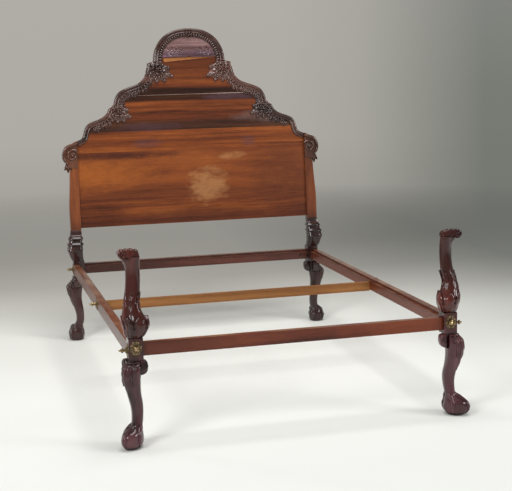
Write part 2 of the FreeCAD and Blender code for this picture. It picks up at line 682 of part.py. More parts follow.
def stile(post, side):
    """The leaning stile of a head post, with a curved outer edge."""
    def at(out, height):
        return Vector(side * (stile_x + out), -size.panel_set_back, height)

    edge = [at(out * size.stile_wide, up * size.stile_high) for out, up in STILE_EDGE_SHARES]
    foot = -size.stile_lap
    corners = [edge[-1], at(0, size.stile_high), at(0, foot), at(size.stile_wide, foot), edge[0]]
    sides = [Part.LineSegment(start, stop).toShape() for start, stop in zip(corners, corners[1:])]
    face = closed_face(spline(edge).toShape(), *sides)
    bar = extruded(f"{post}_stile", face, BACKWARDS, "Sizes.stile_deep")
    bar.Placement = leaning
    return bar


def foot_post(hand, side):
    """A foot post with its two ears."""
    post = f"foot_{hand}"
    solids = [
        turned_up(f"{post}_leg", FOOT_LEG_SHARES, side, foot_y, 0, block_bottom),
        block(post, side, foot_y),
        turned_up(f"{post}_shaft", FOOT_SHAFT_SHARES, side, foot_y, block_top, size.shaft_rise),
        scroll(post, side, foot_y),
    ]
    blank = fused(f"foot_post_{hand}_blank", solids)
    kept(carved(f"foot_post_{hand}", blank, post_cuts("foot", hand, side)), f"foot_post_{hand}")
    outer = EAR_OUTER_SHARE * size.ear_thick
    ears = [
        ear(f"{post}_ear_across", foot_y, side, True, 1, size.ear_facet, outer),
        ear(f"{post}_ear_along", foot_y, side, False, 1, size.ear_facet, outer),
    ]
    kept(gathered(f"foot_ears_{hand}", ears), f"foot_ears_{hand}")


def head_post(hand, side):
    """A head post with its stile, the groove for the boards, and its two ears."""
    post = f"head_{hand}"
    collar_foot = block_top - size.collar_lap
    solids = [
        turned_up(f"{post}_leg", HEAD_LEG_SHARES, side, head_y, 0, block_bottom),
        block(post, side, head_y),
        turned_up(f"{post}_collar", HEAD_COLLAR_SHARES, side, head_y, collar_foot, size.collar_rise),
        stile(post, side),
    ]
    groove = box(
        f"{post}_groove", "Sizes.groove_deep + Sizes.overrun", "Sizes.panel_thick + 2 * Sizes.joint_gap",
        "Sizes.stile_high + 2 * Sizes.overrun",
        (min(side * (stile_x - size.overrun), side * (stile_x + size.groove_deep)),
         -size.joint_gap, -size.joint_gap),
        leaning,
    )
    blank = fused(f"head_post_{hand}_blank", solids)
    kept(carved(f"head_post_{hand}", blank, [groove, *post_cuts("head", hand, side)]), f"head_post_{hand}")
    outer = EAR_OUTER_SHARE * size.ear_thick
    ears = [
        ear(f"{post}_ear_across", head_y, side, True, -1, size.ear_facet, size.ear_thick / 2),
        ear(f"{post}_ear_along", head_y, side, False, -1, size.ear_front_facet, outer),
    ]
    kept(gathered(f"head_ears_{hand}", ears), f"head_ears_{hand}")


for hand, side in SIDES.items():
    foot_post(hand, side)
    head_post(hand, side)


# The headboard is drawn upright, with the boards' front at Y 0 and their lower edge at Z 0, and leans back.
def on_board(side, x_share, height_share, front=0):
    """A point of the crest, from shares of the bed's outer half width and the crest's height."""
    return Vector(side * x_share * outer_x, -front, height_share * size.crest_high)


def leant(thing, label):
    """Keep a piece of the headboard, leaning with the rest."""
    thing.Placement = leaning
    kept(thing, label)


shoulder_top = SHOULDER_TOP_SHARE * size.crest_high


def sweep_points(side, part):
    """The crest's points on one side of one of its sweeps, from the outside inwards."""
    if part == "lower":
        start = Vector(side * stile_x, 0, shoulder_top)
        return [start] + [on_board(side, *share) for share in LOWER_SWEEP_SHARES]
    return [on_board(side, *share) for share in UPPER_SWEEP_SHARES]


arch_right = [on_board(1, *share) for share in ARCH_SHARES]
arch_points = arch_right + [on_board(0, 0, 1)] + [on_board(-1, *share) for share in reversed(ARCH_SHARES)]

edges = [spline(arch_points).toShape()]
tongue_x = stile_x + size.groove_deep - size.joint_gap
for side in SIDES.values():
    lower, upper = sweep_points(side, "lower"), sweep_points(side, "upper")
    edges += [spline(lower).toShape(), spline(upper).toShape()]
    run = [
        Vector(0, 0, 0), Vector(side * tongue_x, 0, 0), Vector(side * tongue_x, 0, size.stile_high),
        Vector(side * stile_x, 0, size.stile_high), lower[0],
    ]
    arch_foot = arch_points[0] if side > 0 else arch_points[-1]
    pairs = list(zip(run, run[1:])) + [(lower[-1], upper[0]), (upper[-1], arch_foot)]
    edges += [Part.LineSegment(start, stop).toShape() for start, stop in pairs]
blank = extruded("headboard_blank", closed_face(*edges), BACKWARDS, "Sizes.panel_thick")

for number, (low, high) in enumerate(zip([0] + BOARD_TOP_SHARES, BOARD_TOP_SHARES), start=1):
    band = box(
        f"band_{number}", "Sizes.post_spread_across + 2 * Sizes.block_side", "Sizes.panel_thick",
        f"{high - low:.3f} * Sizes.crest_high", (-post_x - size.block_side, 0, low * size.crest_high),
    )
    board = doc.addObject("Part::Common", f"headboard_board_{number}")
    board.Base = blank
    board.Tool = band
    leant(board, f"headboard_board_{number}")


def border(name, points, inside):
    """A length of the crest's border: the edge of the boards and a line a border's width inside it."""
    curve = spline(points)
    first, last = curve.FirstParameter, curve.LastParameter
    inner_points = []
    for step in range(BORDER_SAMPLES + 1):
        at = first + (last - first) * step / BORDER_SAMPLES
        along = curve.tangent(at)[0]
        inner_points.append(curve.value(at) + Vector(-along.z, 0, along.x) * (inside * size.border_wide))
    inner = spline(inner_points)
    ends = [
        Part.LineSegment(points[0], inner_points[0]).toShape(),
        Part.LineSegment(points[-1], inner_points[-1]).toShape(),
    ]
    face = closed_face(curve.toShape(), inner.toShape(), *ends)
    leant(extruded(name, face, FORWARDS, "Sizes.border_proud"), name)


border("crest_arch", arch_points, 1)
for hand, side in SIDES.items():
    for part in ("lower", "upper"):
        border(f"crest_{part}_{hand}", sweep_points(side, part), side)


def shoulder(hand, side):
    """The scroll that closes the crest on top of a stile."""
    front = size.panel_set_back + size.shoulder_proud
    wide = SHOULDER_REACH_SHARE * outer_x - stile_x
    high = shoulder_top - size.stile_high
    edge = []
    for out, up in SHOULDER_SHARES:
        edge.append(Vector(side * (stile_x + out * wide), -front, size.stile_high + up * high))
    corner = Vector(side * stile_x, -front, size.stile_high)
    sides = [Part.LineSegment(edge[-1], corner).toShape(), Part.LineSegment(corner, edge[0]).toShape()]
    face = closed_face(spline(edge).toShape(), *sides)
    name = f"shoulder_{hand}"
    leant(extruded(name, face, BACKWARDS, "Sizes.stile_deep + Sizes.shoulder_proud"), name)


for hand, side in SIDES.items():
    shoulder(hand, side)


def leaf_face(centre, radius, lobes, depth_share):
    """A lobed leaf outline."""
    points = []
    count = LOBE_POINTS * lobes
    for step in range(count):
        angle = 2 * math.pi * step / count
        reach = radius * (1 + depth_share * math.cos(lobes * angle))
        points.append(centre + Vector(reach * math.sin(angle), 0, reach * math.cos(angle)))
    curve = Part.BSplineCurve()
    curve.interpolate(Points=points, PeriodicFlag=True)
    return Part.Face(Part.Wire([curve.toShape()]))


for hand, side in SIDES.items():
    for part, share in (("upper", UPPER_SPRAY_SHARE), ("lower", LOWER_SPRAY_SHARE)):
        name = f"spray_{part}_{hand}"
        face = leaf_face(on_board(side, *share), size.spray_radius, SPRAY_LOBES, SPRAY_LOBE_SHARE)
        leant(extruded(name, face, FORWARDS, "Sizes.spray_proud"), name)

finial = leaf_face(
    on_board(1, *FINIAL_SHARE, front=size.border_proud), size.finial_radius, FINIAL_LOBES, FINIAL_LOBE_SHARE
)
leant(extruded("finial", finial, FORWARDS, "Sizes.finial_proud"), "finial")

lunette_foot = on_board(0, 0, LUNETTE_FOOT_SHARE)
lunette_edge = []
for step in range(LUNETTE_STEPS + 1):
    angle = math.pi * step / LUNETTE_STEPS
    across, up = size.lunette_wide / 2 * math.cos(angle), size.lunette_high * math.sin(angle)
    lunette_edge.append(lunette_foot + Vector(across, 0, up))
lunette = closed_face(
    spline(lunette_edge).toShape(), Part.LineSegment(lunette_edge[-1], lunette_edge[0]).toShape()
)
leant(extruded("lunette", lunette, FORWARDS, "Sizes.lunette_proud"), "lunette")

doc.recompute()
for thing in doc.Objects:
    if "Invalid" in thing.State or "Error" in thing.State:
        raise RuntimeError(f"{thing.Label} did not recompute: {thing.State}")
os.makedirs("parts", exist_ok=True)
for node in nodes:
    if node.Shape.isNull() or not node.Shape.isValid() or not node.Shape.Solids:
        raise RuntimeError(f"{node.Label} has no valid solid")
    node.Shape.exportStep(f"parts/{node.Label}.step")
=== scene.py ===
import json
import math
from math import atan2, cos, exp, pi, radians, sin

import bmesh
import bpy
from mathutils import Matrix, Vector


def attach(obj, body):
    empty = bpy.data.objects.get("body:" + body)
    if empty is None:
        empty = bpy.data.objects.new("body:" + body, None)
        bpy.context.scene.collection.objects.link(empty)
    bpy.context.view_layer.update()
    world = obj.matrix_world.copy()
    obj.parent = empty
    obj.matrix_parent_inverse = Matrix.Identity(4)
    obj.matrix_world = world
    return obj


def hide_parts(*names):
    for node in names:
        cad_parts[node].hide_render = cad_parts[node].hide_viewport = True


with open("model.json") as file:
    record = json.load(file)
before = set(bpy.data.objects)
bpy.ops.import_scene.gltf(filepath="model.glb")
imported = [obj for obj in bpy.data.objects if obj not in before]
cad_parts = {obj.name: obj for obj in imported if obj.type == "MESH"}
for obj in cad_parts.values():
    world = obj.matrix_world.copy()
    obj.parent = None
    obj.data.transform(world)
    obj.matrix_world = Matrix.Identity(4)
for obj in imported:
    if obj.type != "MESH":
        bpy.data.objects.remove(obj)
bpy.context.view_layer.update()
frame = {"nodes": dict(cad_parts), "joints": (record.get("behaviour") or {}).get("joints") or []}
nodes = frame["nodes"]
scene = bpy.context.scene
scene.view_settings.view_transform = "Standard"

BLACK, WHITE = (0.0, 0.0, 0.0, 1.0), (1.0, 1.0, 1.0, 1.0)
# Noises in wood: scale along and across the grain, detail, roughness and distortion.
FIGURE_NOISE, STREAK_NOISE = (0.8, 7.0, 5.0, 0.6, 0.8), (1.1, 38.0, 4.0, 0.6, 0.4)
FIBRE_NOISE, PORE_NOISE = (9.0, 300.0, 6.0, 0.7), (40.0, 900.0, 2.0)
PORE_SHADE, PORES_TO_GRAIN, BUMP_TO_GRAIN, FIBRE_RISE = (0.45, 0.4, 0.38, 1.0), 2.5, 0.8, 0.0006
TONE_STOPS, POLISH_SWING, SHEEN = (0.34, 0.5, 0.66), 0.22, 0.26
# Scales along x, y and z of the waver of bands, the edges of patches and the pale places on upward faces,
# partly rubbed and partly painted light.
WAVER_SCALES, RAGGED_SCALES, RUBBED_AND_LIT_SCALES = (1.1, 1.1, 5.0), (11.0, 11.0, 24.0), (7.0, 7.0, 7.0)
RAGGED_SHARE, BAND_WAVER, UPPER_WAVER = 1.7, 0.022, 0.02
# How far the hollows of carving reach, and the tone deep in them: old wax and painted shade.
HOLLOW_REACH, OLD_WAX_AND_SHADE = 0.022, (0.16, 0.1, 0.1, 1.0)
# Tones of the woods, each from dark to light.
WOOD_TONES = {
    "dark": ((35, 9, 7), (70, 23, 17), (106, 42, 31)),
    "mauve": ((42, 19, 23), (76, 41, 46), (110, 68, 74)),
    # Head posts: the post wood darkened with painted shade, for the shade the head end stands in.
    "shaded_post": ((28, 12, 11), (47, 24, 23), (70, 41, 39)),
    "crest": ((34, 19, 16), (68, 41, 35), (104, 71, 62)),
    # The field in the arch: pale pink-grey, partly its own wood and partly painted sheen of its gloss.
    "field": ((86, 56, 57), (130, 99, 98), (168, 138, 134)),
    "shoulder": ((46, 24, 17), (82, 45, 31), (116, 70, 48)),
    "stile": ((66, 32, 20), (110, 56, 30), (140, 76, 38)),
    "board": ((72, 33, 17), (123, 62, 28), (162, 90, 37)),
    "even": ((92, 44, 22), (123, 63, 30), (148, 80, 35)),
    "rail": ((60, 25, 17), (94, 43, 28), (120, 61, 39)),
    # The head rail: the rail wood darkened with painted shade, as its face lies in shadow.
    "shaded_rail": ((44, 20, 16), (70, 35, 28), (94, 52, 42)),
    "slat": ((108, 66, 33), (140, 92, 49), (168, 118, 70)),
    "sliver": ((126, 74, 36), (156, 100, 56), (182, 130, 84)),
    # The pale grey of a painted highlight along a joint of the boards.
    "painted_highlight": ((120, 92, 82), (164, 142, 132), (196, 180, 172)),
}
# Metal: scales of its tarnish and pits, the depth of the pits, and how far its roughness varies.
TARNISH_SCALES, PIT_SCALES, PIT_DEPTH, WORN_GLOSS = (90.0,) * 3, (900.0,) * 3, 0.0003, 0.3


# Shader helpers.

def tone(red, green, blue):
    """A colour written on the usual 0 to 255 screen scale, as shader values."""
    def linear(value):
        share = value / 255
        return share / 12.92 if share <= 0.04045 else ((share + 0.055) / 1.055) ** 2.4
    return (linear(red), linear(green), linear(blue), 1.0)


def set_inputs(tree, node, inputs):
    """Gives inputs of a node a value or another node's output each."""
    for key, value in inputs.items():
        if isinstance(value, bpy.types.NodeSocket):
            tree.links.new(value, node.inputs[key])
        else:
            node.inputs[key].default_value = value


def add_node(tree, kind, inputs=None, **settings):
    """A shader node with its inputs and settings."""
    node = tree.nodes.new("ShaderNode" + kind)
    for key, value in settings.items():
        setattr(node, key, value)
    set_inputs(tree, node, inputs or {})
    return node


def ramp(tree, factor, stops):
    """A colour that runs through (position, colour) stops."""
    node = add_node(tree, "ValToRGB", {"Fac": factor})
    elements = node.color_ramp.elements
    elements[0].position, elements[0].color = stops[0]
    elements[1].position, elements[1].color = stops[-1]
    for position, colour in stops[1:-1]:
        elements.new(position).color = colour
    return node.outputs["Color"]


def math_node(tree, operation, first, *others):
    """The result of a sum on two or more numbers or outputs."""
    for other in others:
        first = add_node(tree, "Math", {0: first, 1: other}, operation=operation).outputs[0]
    return first


def share_between(tree, value, low, high):
    """How far a value lies between two others, from 0 to 1."""
    return math_node(tree, "DIVIDE", math_node(tree, "SUBTRACT", value, low), high - low)


def mixed(tree, factor, first, second, blend="MIX"):
    """Two colours mixed."""
    node = add_node(
        tree, "Mix", {"Factor": factor, 6: first, 7: second}, data_type="RGBA", blend_type=blend
    )
    return node.outputs[2]


def new_material(name):
    """A material with nothing but a shader and its output."""
    material = bpy.data.materials.new(name)
    material.use_nodes = True
    tree = material.node_tree
    tree.nodes.clear()
    shader = add_node(tree, "BsdfPrincipled")
    add_node(tree, "OutputMaterial", {"Surface": shader.outputs[0]})
    return material, tree, shader


def noise(tree, scales, detail, roughness=0.55, distortion=0.0, start=0.0):
    """A noise value at the object's coordinates in metres, each scaled by its own factor and then moved."""
    place = add_node(tree, "TexCoord").outputs["Object"]
    moved = add_node(tree, "VectorMath", {0: place, 1: scales, 2: (start,) * 3}, operation="MULTIPLY_ADD")
    node = add_node(tree, "TexNoise", {
        "Vector": moved.outputs[0], "Scale": 1.0, "Detail": detail, "Roughness": roughness,
        "Distortion": distortion,
    })
    return node.outputs["Fac"]


def coordinates(tree):
    """The object's own coordinates in metres, one output for each axis."""
    place = add_node(tree, "TexCoord").outputs["Object"]
    return add_node(tree, "SeparateXYZ", {0: place}).outputs


def by_height(tree, waver, stops):
    """A colour that runs through (height, colour) stops. The heights waver along the grain."""
    low, high = stops[0][0], stops[-1][0]
    bend = math_node(tree, "SUBTRACT", noise(tree, WAVER_SCALES, 3.0), 0.5)
    level = math_node(tree, "ADD", coordinates(tree)[2], math_node(tree, "MULTIPLY", bend, waver))
    shares = [((height - low) / (high - low), colour) for height, colour in stops]
    return ramp(tree, share_between(tree, level, low, high), shares)


def facing(tree, axis):
    """How far a face looks along an axis, from -1 to 1."""
    normal = add_node(tree, "NewGeometry").outputs["Normal"]
    return add_node(tree, "SeparateXYZ", {0: normal}).outputs[axis]


def place_on_boards(tree, across, height, half_wide, half_high, edge, strength):
    """How far a ragged patch covers the front of the boards. It fades out towards its edge."""
    place = coordinates(tree)
    wide = share_between(tree, place[0], across, across + half_wide)
    high = share_between(tree, place[2], height, height + half_high)
    squares = [math_node(tree, "MULTIPLY", share, share) for share in (wide, high)]
    waver = math_node(tree, "SUBTRACT", noise(tree, RAGGED_SCALES, 7.0, 0.7), 0.5)
    ragged = math_node(tree, "ADD", *squares, math_node(tree, "MULTIPLY", waver, RAGGED_SHARE))
    patch = ramp(tree, ragged, [(0.0, WHITE), (0.4 * edge, (0.6, 0.6, 0.6, 1.0)), (edge, BLACK)])
    front = math_node(tree, "LESS_THAN", facing(tree, 1), 0.0)
    return math_node(tree, "MULTIPLY", patch, front, strength)


def worn_and_lit_top(tree):
    """How pale a face is where it looks up, in patches: partly rubbed wear, partly painted light from above.
    """
    upward = ramp(tree, facing(tree, 2), [(0.5, BLACK), (0.9, WHITE)])
    rubbed = noise(tree, RUBBED_AND_LIT_SCALES, 6.0, 0.7)
    return math_node(tree, "MULTIPLY", upward, ramp(tree, rubbed, [(0.4, BLACK), (0.66, WHITE)]))


def wood(
        name, kind, axis, gloss=0.3, coat=0.12, grain=0.28, streak=0.0, start=0.0, bands=(), upper=None,
        places=(), worn=None, coat_gloss=0.09, carved=False):
    """Polished wood: broad figure, streaks, fibres and pores along one axis, in the tones of its kind.

    grain and streak are the shares of fibres and streaks in the figure, and start moves it, so that no two
    boards match. bands shade it by height. upper gives the kind that it looks like higher up, and the heights
    where that begins and is reached. places lists patches of another tone, some of them stains and fading,
    others painted light, painted shade and painted reflection. worn is the tone of upward faces, partly
    rubbed and partly painted light from above. Carved wood is dark and dull in its hollows: partly old wax,
    partly painted shade."""
    material, tree, shader = new_material(name)

    def grain_noise(along, across, *others, **settings):
        scales = [along if letter == axis else across for letter in "xyz"]
        return noise(tree, scales, *others, **settings)

    def toned(kind):
        return ramp(tree, both, [(stop, tone(*colour)) for stop, colour in zip(TONE_STOPS, WOOD_TONES[kind])])

    figure = grain_noise(*FIGURE_NOISE, start=start)
    streaks = ramp(tree, grain_noise(*STREAK_NOISE, start=start), [(0.36, BLACK), (0.64, WHITE)])
    fibre = grain_noise(*FIBRE_NOISE)
    pores = grain_noise(*PORE_NOISE)
    parts = [(figure, 1 - grain - streak), (fibre, grain), (streaks, streak)]
    both = math_node(tree, "ADD", *(math_node(tree, "MULTIPLY", part, share) for part, share in parts))
    colour = toned(kind)
    if upper:
        upper_kind, begins, reached = upper
        above = toned(upper_kind)
        colour = mixed(tree, by_height(tree, UPPER_WAVER, [(begins, BLACK), (reached, WHITE)]), colour, above)
    if bands:
        colour = mixed(tree, 1.0, colour, by_height(tree, BAND_WAVER, bands), "MULTIPLY")
    for *place, other in places:
        colour = mixed(tree, place_on_boards(tree, *place), colour, other)
    # Upward faces paled: partly wear, partly painted light from above.
    if worn:
        colour = mixed(tree, worn_and_lit_top(tree), colour, worn)
    specks = ramp(tree, pores, [(0.3, PORE_SHADE), (0.42, WHITE)])
    colour = mixed(tree, PORES_TO_GRAIN * grain, colour, specks, "MULTIPLY")
    if carved:
        # Hollows darkened and dulled: partly old wax, partly painted shade.
        openness = add_node(tree, "AmbientOcclusion", {"Distance": HOLLOW_REACH}, samples=8).outputs["AO"]
        wax_and_shade = ramp(tree, openness, [(0.52, OLD_WAX_AND_SHADE), (0.97, WHITE)])
        colour = mixed(tree, 1.0, colour, wax_and_shade, "MULTIPLY")
        coat = math_node(tree, "MULTIPLY", wax_and_shade, coat)
    polish = math_node(tree, "MULTIPLY", fibre, POLISH_SWING)
    bump = add_node(tree, "Bump", {
        "Strength": BUMP_TO_GRAIN * grain, "Distance": FIBRE_RISE, "Height": fibre,
    })
    set_inputs(tree, shader, {
        "Base Color": colour, "Roughness": math_node(tree, "ADD", polish, gloss - POLISH_SWING / 2),
        "Specular IOR Level": SHEEN, "Coat Weight": coat, "Coat Roughness": coat_gloss,
        "Normal": bump.outputs[0],
    })
    return material


# Tones of patches and of upward faces: faded and stained places, upward faces rubbed and with painted light
# from above, painted light on the left of board 2 and the right of the foot rail, painted shade towards their
# other ends, and painted reflection low on board 4.
RUBBED_AND_LIT_TONE, FADED_TONE, LIT_GOLDEN_TONE = tone(140, 101, 75), tone(172, 122, 78), tone(166, 92, 36)
DARK_STREAK_AND_SHADE_TONE, GREY_REFLECTION_TONE, PURPLE_TONE = tone(66, 30, 20), tone(118, 98, 94), tone(80, 56, 64)
LIT_AMBER_TONE = tone(140, 68, 38)
# Shades of the boards by height: colours that their own tones are multiplied by.
PLAIN, DIM, DUSKY = (1.0, 1.0, 1.0, 1.0), (0.8, 0.78, 0.84, 1.0), (0.6, 0.56, 0.74, 1.0)
MURKY = (0.42, 0.38, 0.5, 1.0)
# The second of these multipliers, grey-blue, is painted reflection: the sheen of dark gloss low on board 4.
STREAK, GREY_BLUE_REFLECTION = (0.16, 0.18, 0.3, 1.0), (0.28, 0.37, 0.74, 1.0)
BOARD_BANDS = {
    1: [(0.64, DUSKY), (0.7, DUSKY), (0.755, DIM), (0.8, DUSKY), (0.83, DUSKY)],
    2: [(0.8, DUSKY), (0.84, DIM), (0.91, PLAIN), (1.06, PLAIN), (1.078, DIM), (1.095, DUSKY)],
    3: [(1.08, PLAIN), (1.105, PLAIN), (1.145, DIM), (1.17, PLAIN), (1.21, PLAIN)],
    4: [
        # Grey-blue low on board 4: painted reflection of its dark gloss.
        (1.195, GREY_BLUE_REFLECTION), (1.242, GREY_BLUE_REFLECTION), (1.275, DUSKY), (1.315, DIM), (1.335, PLAIN),
        (1.366, PLAIN), (1.38, STREAK), (1.415, STREAK),
    ],
    5: [
        (1.4, STREAK), (1.436, STREAK), (1.455, DUSKY), (1.472, DIM), (1.49, DUSKY), (1.505, MURKY),
        (1.53, DUSKY), (1.56, MURKY), (1.6, MURKY), (1.625, STREAK),
    ],
    6: [(1.6, DUSKY), (1.82, DUSKY)],
}
WIDE_BOARD = 2
FIELD_BANDS = [(1.6, DUSKY), (1.648, DUSKY), (1.668, PLAIN), (1.76, PLAIN)]
# Patches on the boards and the foot rail: across, height, half width, half height, edge, strength and tone.
SOFT_EDGE, FIRM_EDGE = 0.75, 0.46
BOARD_PLACES = [
    (0.078, 0.868, 0.215, 0.172, FIRM_EDGE, 0.62, FADED_TONE),
    (0.225, 1.04, 0.15, 0.04, FIRM_EDGE, 0.55, FADED_TONE),
    # Painted light: golden towards the left of board 2, nearer the lamp.
    (-0.56, 0.96, 0.42, 0.12, SOFT_EDGE, 0.62, LIT_GOLDEN_TONE),
    (-0.43, 1.062, 0.48, 0.028, SOFT_EDGE, 0.9, DARK_STREAK_AND_SHADE_TONE),
    # Painted reflection: a grey patch and a purple one low on board 4, the sheen of its dark gloss.
    (0.47, 1.27, 0.28, 0.045, SOFT_EDGE, 0.5, GREY_REFLECTION_TONE),
    (-0.26, 1.222, 0.3, 0.036, SOFT_EDGE, 0.45, PURPLE_TONE),
    (0.23, 1.388, 0.22, 0.026, SOFT_EDGE, 0.75, PURPLE_TONE),
    (-0.27, 1.13, 0.11, 0.035, SOFT_EDGE, 0.45, PURPLE_TONE),
    (0.34, 1.125, 0.06, 0.045, SOFT_EDGE, 0.4, PURPLE_TONE),
    # Painted shade: darker towards the right of board 2, away from the lamp.
    (0.56, 0.9, 0.3, 0.26, SOFT_EDGE, 0.45, DARK_STREAK_AND_SHADE_TONE),
    (0.0, 0.69, 0.6, 0.06, SOFT_EDGE, 0.5, DARK_STREAK_AND_SHADE_TONE),
]
RAIL_PLACES = [
    # Painted light towards the right end of the foot rail, and painted shade towards its left end.
    (0.52, 0.4, 0.42, 0.2, SOFT_EDGE, 0.52, LIT_AMBER_TONE),
    (-0.56, 0.4, 0.4, 0.2, SOFT_EDGE, 0.45, DARK_STREAK_AND_SHADE_TONE),
]
CARVED = {"gloss": 0.22, "grain": 0.12, "coat_gloss": 0.06, "carved": True}
RAIL = {"streak": 0.12, "worn": RUBBED_AND_LIT_TONE}
# Another kind higher up, and the heights where it begins and is reached.
FOOT_POST_UPPER, HEAD_POST_UPPER = ("dark", 0.35, 0.44), ("stile", 0.585, 0.7)
BOARD_STEP, BOARD_STREAK, WIDE_BOARD_STREAK = 3.7, 0.16, 0.06

carved_wood = wood("carved_wood", "mauve", "z", **CARVED, coat=0.42, upper=FOOT_POST_UPPER)
# The head posts and their carving take tones darkened with painted shade.
post_wood = wood("post_wood", "shaded_post", "z", gloss=0.22, coat=0.5, grain=0.14, upper=HEAD_POST_UPPER)
shaded_post_wood = wood("shaded_post_wood", "shaded_post", "z", **CARVED, coat=0.6)
crest_wood = wood("crest_wood", "crest", "x", gloss=0.22, coat=0.9, grain=0.12, coat_gloss=0.05)
# The field's pale tones are partly painted sheen.
sheen_field_wood = wood(
    "sheen_field_wood", "field", "x", gloss=0.26, coat=0.7, grain=0.12, streak=0.25, bands=FIELD_BANDS,
    coat_gloss=0.05
)
shoulder_wood = wood("shoulder_wood", "shoulder", "z", **CARVED, coat=0.9)
board_woods = {}
for number, bands in BOARD_BANDS.items():
    is_wide = number == WIDE_BOARD
    board_woods[number] = wood(
        f"board_{number}_wood", "even" if is_wide else "board", "x",
        streak=WIDE_BOARD_STREAK if is_wide else BOARD_STREAK, start=BOARD_STEP * number, bands=bands,
        places=BOARD_PLACES,
    )
foot_rail_wood = wood("foot_rail_wood", "rail", "x", **RAIL, places=RAIL_PLACES)
# The head rail's tones are darkened with painted shade.
head_rail_wood = wood("head_rail_wood", "shaded_rail", "x", **RAIL)
side_rail_wood = wood("side_rail_wood", "rail", "y", **RAIL)
sliver_wood = wood("sliver_wood", "sliver", "x")
# Painted highlight along a joint of the boards.
painted_highlight_wood = wood("painted_highlight_wood", "painted_highlight", "x")
slat_wood = wood("slat_wood", "slat", "x", gloss=0.55, coat=0.0, streak=0.14)


def metal(name, tones, gloss):
    """Aged metal: patches of tarnish, with a roughness and a fine pitting to match."""
    material, tree, shader = new_material(name)
    patches = noise(tree, TARNISH_SCALES, 6.0, 0.65)
    pits = noise(tree, PIT_SCALES, 3.0)
    worn = math_node(tree, "MULTIPLY", patches, -WORN_GLOSS)
    bump = add_node(tree, "Bump", {"Strength": 0.2, "Distance": PIT_DEPTH, "Height": pits})
    set_inputs(tree, shader, {
        "Base Color": ramp(tree, patches, [(0.35, tones[0]), (0.62, tones[1])]),
        "Roughness": math_node(tree, "ADD", worn, gloss + WORN_GLOSS / 2),
        "Metallic": 1.0, "Normal": bump.outputs[0],
    })
    return material


brass = metal("aged_brass", (tone(104, 86, 60), tone(176, 155, 118)), 0.3)
tarnished_brass = metal("tarnished_brass", (tone(58, 48, 38), tone(138, 118, 90)), 0.36)
iron = metal("forged_iron", (tone(48, 44, 42), tone(92, 86, 82)), 0.55)

CAD_LOOKS = {
    "foot_post": carved_wood, "head_post": post_wood, "foot_ears": carved_wood, "head_ears": shaded_post_wood,
    "side_rail": side_rail_wood, "foot_rail": foot_rail_wood, "head_rail": head_rail_wood,
    "cross_slat": slat_wood, "crest": crest_wood, "shoulder": shoulder_wood, "lunette": crest_wood,
    "finial": crest_wood, "spray": crest_wood, "bolt_nuts": iron, "bolt": brass, "plate_pins": brass,
    "collar": brass,
}
CAD_LOOKS.update({f"headboard_board_{number}": look for number, look in board_woods.items()})
SHARP_DEGREES = 32
# Edges eased by the plane: the start of a node's name and the width of the bevel.
EASED_EDGES = {
    "side_rail": 0.002, "foot_rail": 0.002, "head_rail": 0.002, "cross_slat": 0.0015, "headboard": 0.0032,
}


def by_name(table, node_name):
    """The entry of a table whose key starts a node's name, if there is one."""
    return next((entry for start, entry in table.items() if node_name.startswith(start)), None)


for node_name, node in nodes.items():
    node.data.materials.clear()
    node.data.materials.append(by_name(CAD_LOOKS, node_name))
    node.data.shade_smooth()
    node.data.set_sharp_from_angle(angle=radians(SHARP_DEGREES))
    eased = by_name(EASED_EDGES, node_name)
    if eased:
        bevel = node.modifiers.new("eased_edges", "BEVEL")
        bevel.width, bevel.segments, bevel.limit_method = eased, 2, "ANGLE"
        bevel.angle_limit = radians(SHARP_DEGREES)


# Mesh helpers: a solid is its points and its faces.
CARVED_SHARP_DEGREES, SINK = 55, 0.0015
SIDES = {"left": -1, "right": 1}
UP, RIGHT, FRONT = Vector((0, 0, 1)), Vector((1, 0)), Vector((0, -1, 0))
# Leaves: rows and columns of their meshes, their edges, veins and midrib.
FINE, SMALL = (25, 13), (15, 9)
NOTCH, BLUNT, LEAF_TIP, LEAF_EDGE = 0.3, 0.6, 0.05, 0.2
VEIN_SLANT, VEIN_DEPTH, MIDRIB_DEPTH, MIDRIB_WIDTH = 0.8, 0.45, 0.45, 0.16
# Spirals, and knobs: share of the radius and of the rise, ring by ring.
SPIRAL_STEPS, SPIRAL_THINS, EYE_SHARE, EYE_KNOB, EYE_RISE = 48, 0.4, 0.22, 0.24, 1.2
BOSS_PROFILE, BOSS_SIDES = [(1.0, 0.0), (0.96, 0.35), (0.78, 0.7), (0.45, 0.93), (0.1, 1.0)], 16
EGG_PROFILE, EGG_SIDES = [(1.0, 0.0), (0.95, 0.4), (0.76, 0.74), (0.44, 0.95), (0.12, 1.0)], 12


def whole_turn(steps):
    """Even steps of a whole turn, in radians."""
    return [2 * pi * step / steps for step in range(steps)]


def rings_solid(rings, closed=False):
    """A solid through rings of points: capped at its ends, or closed on itself."""
    count = len(rings[0])
    points = [point for ring in rings for point in ring]
    faces = []
    last = len(rings) if closed else len(rings) - 1
    for step in range(last):
        here, there = step * count, (step + 1) % len(rings) * count
        for side in range(count):
            after = (side + 1) % count
            faces.append((here + side, here + after, there + after, there + side))
    if not closed:
        faces += [tuple(range(count)), tuple(range(len(points) - count, len(points)))]
    return points, faces


def sheet(rows, columns, places):
    """A solid between two grids of points: places(along, across) gives a point of each at shares from 0 to 1.

    The points at one share along lie in a plane."""
    rings = []
    for row in range(rows):
        pairs = [places(row / (rows - 1), column / (columns - 1)) for column in range(columns)]
        rings.append([upper for upper, _ in pairs] + [lower for _, lower in reversed(pairs)])
    return rings_solid(rings)


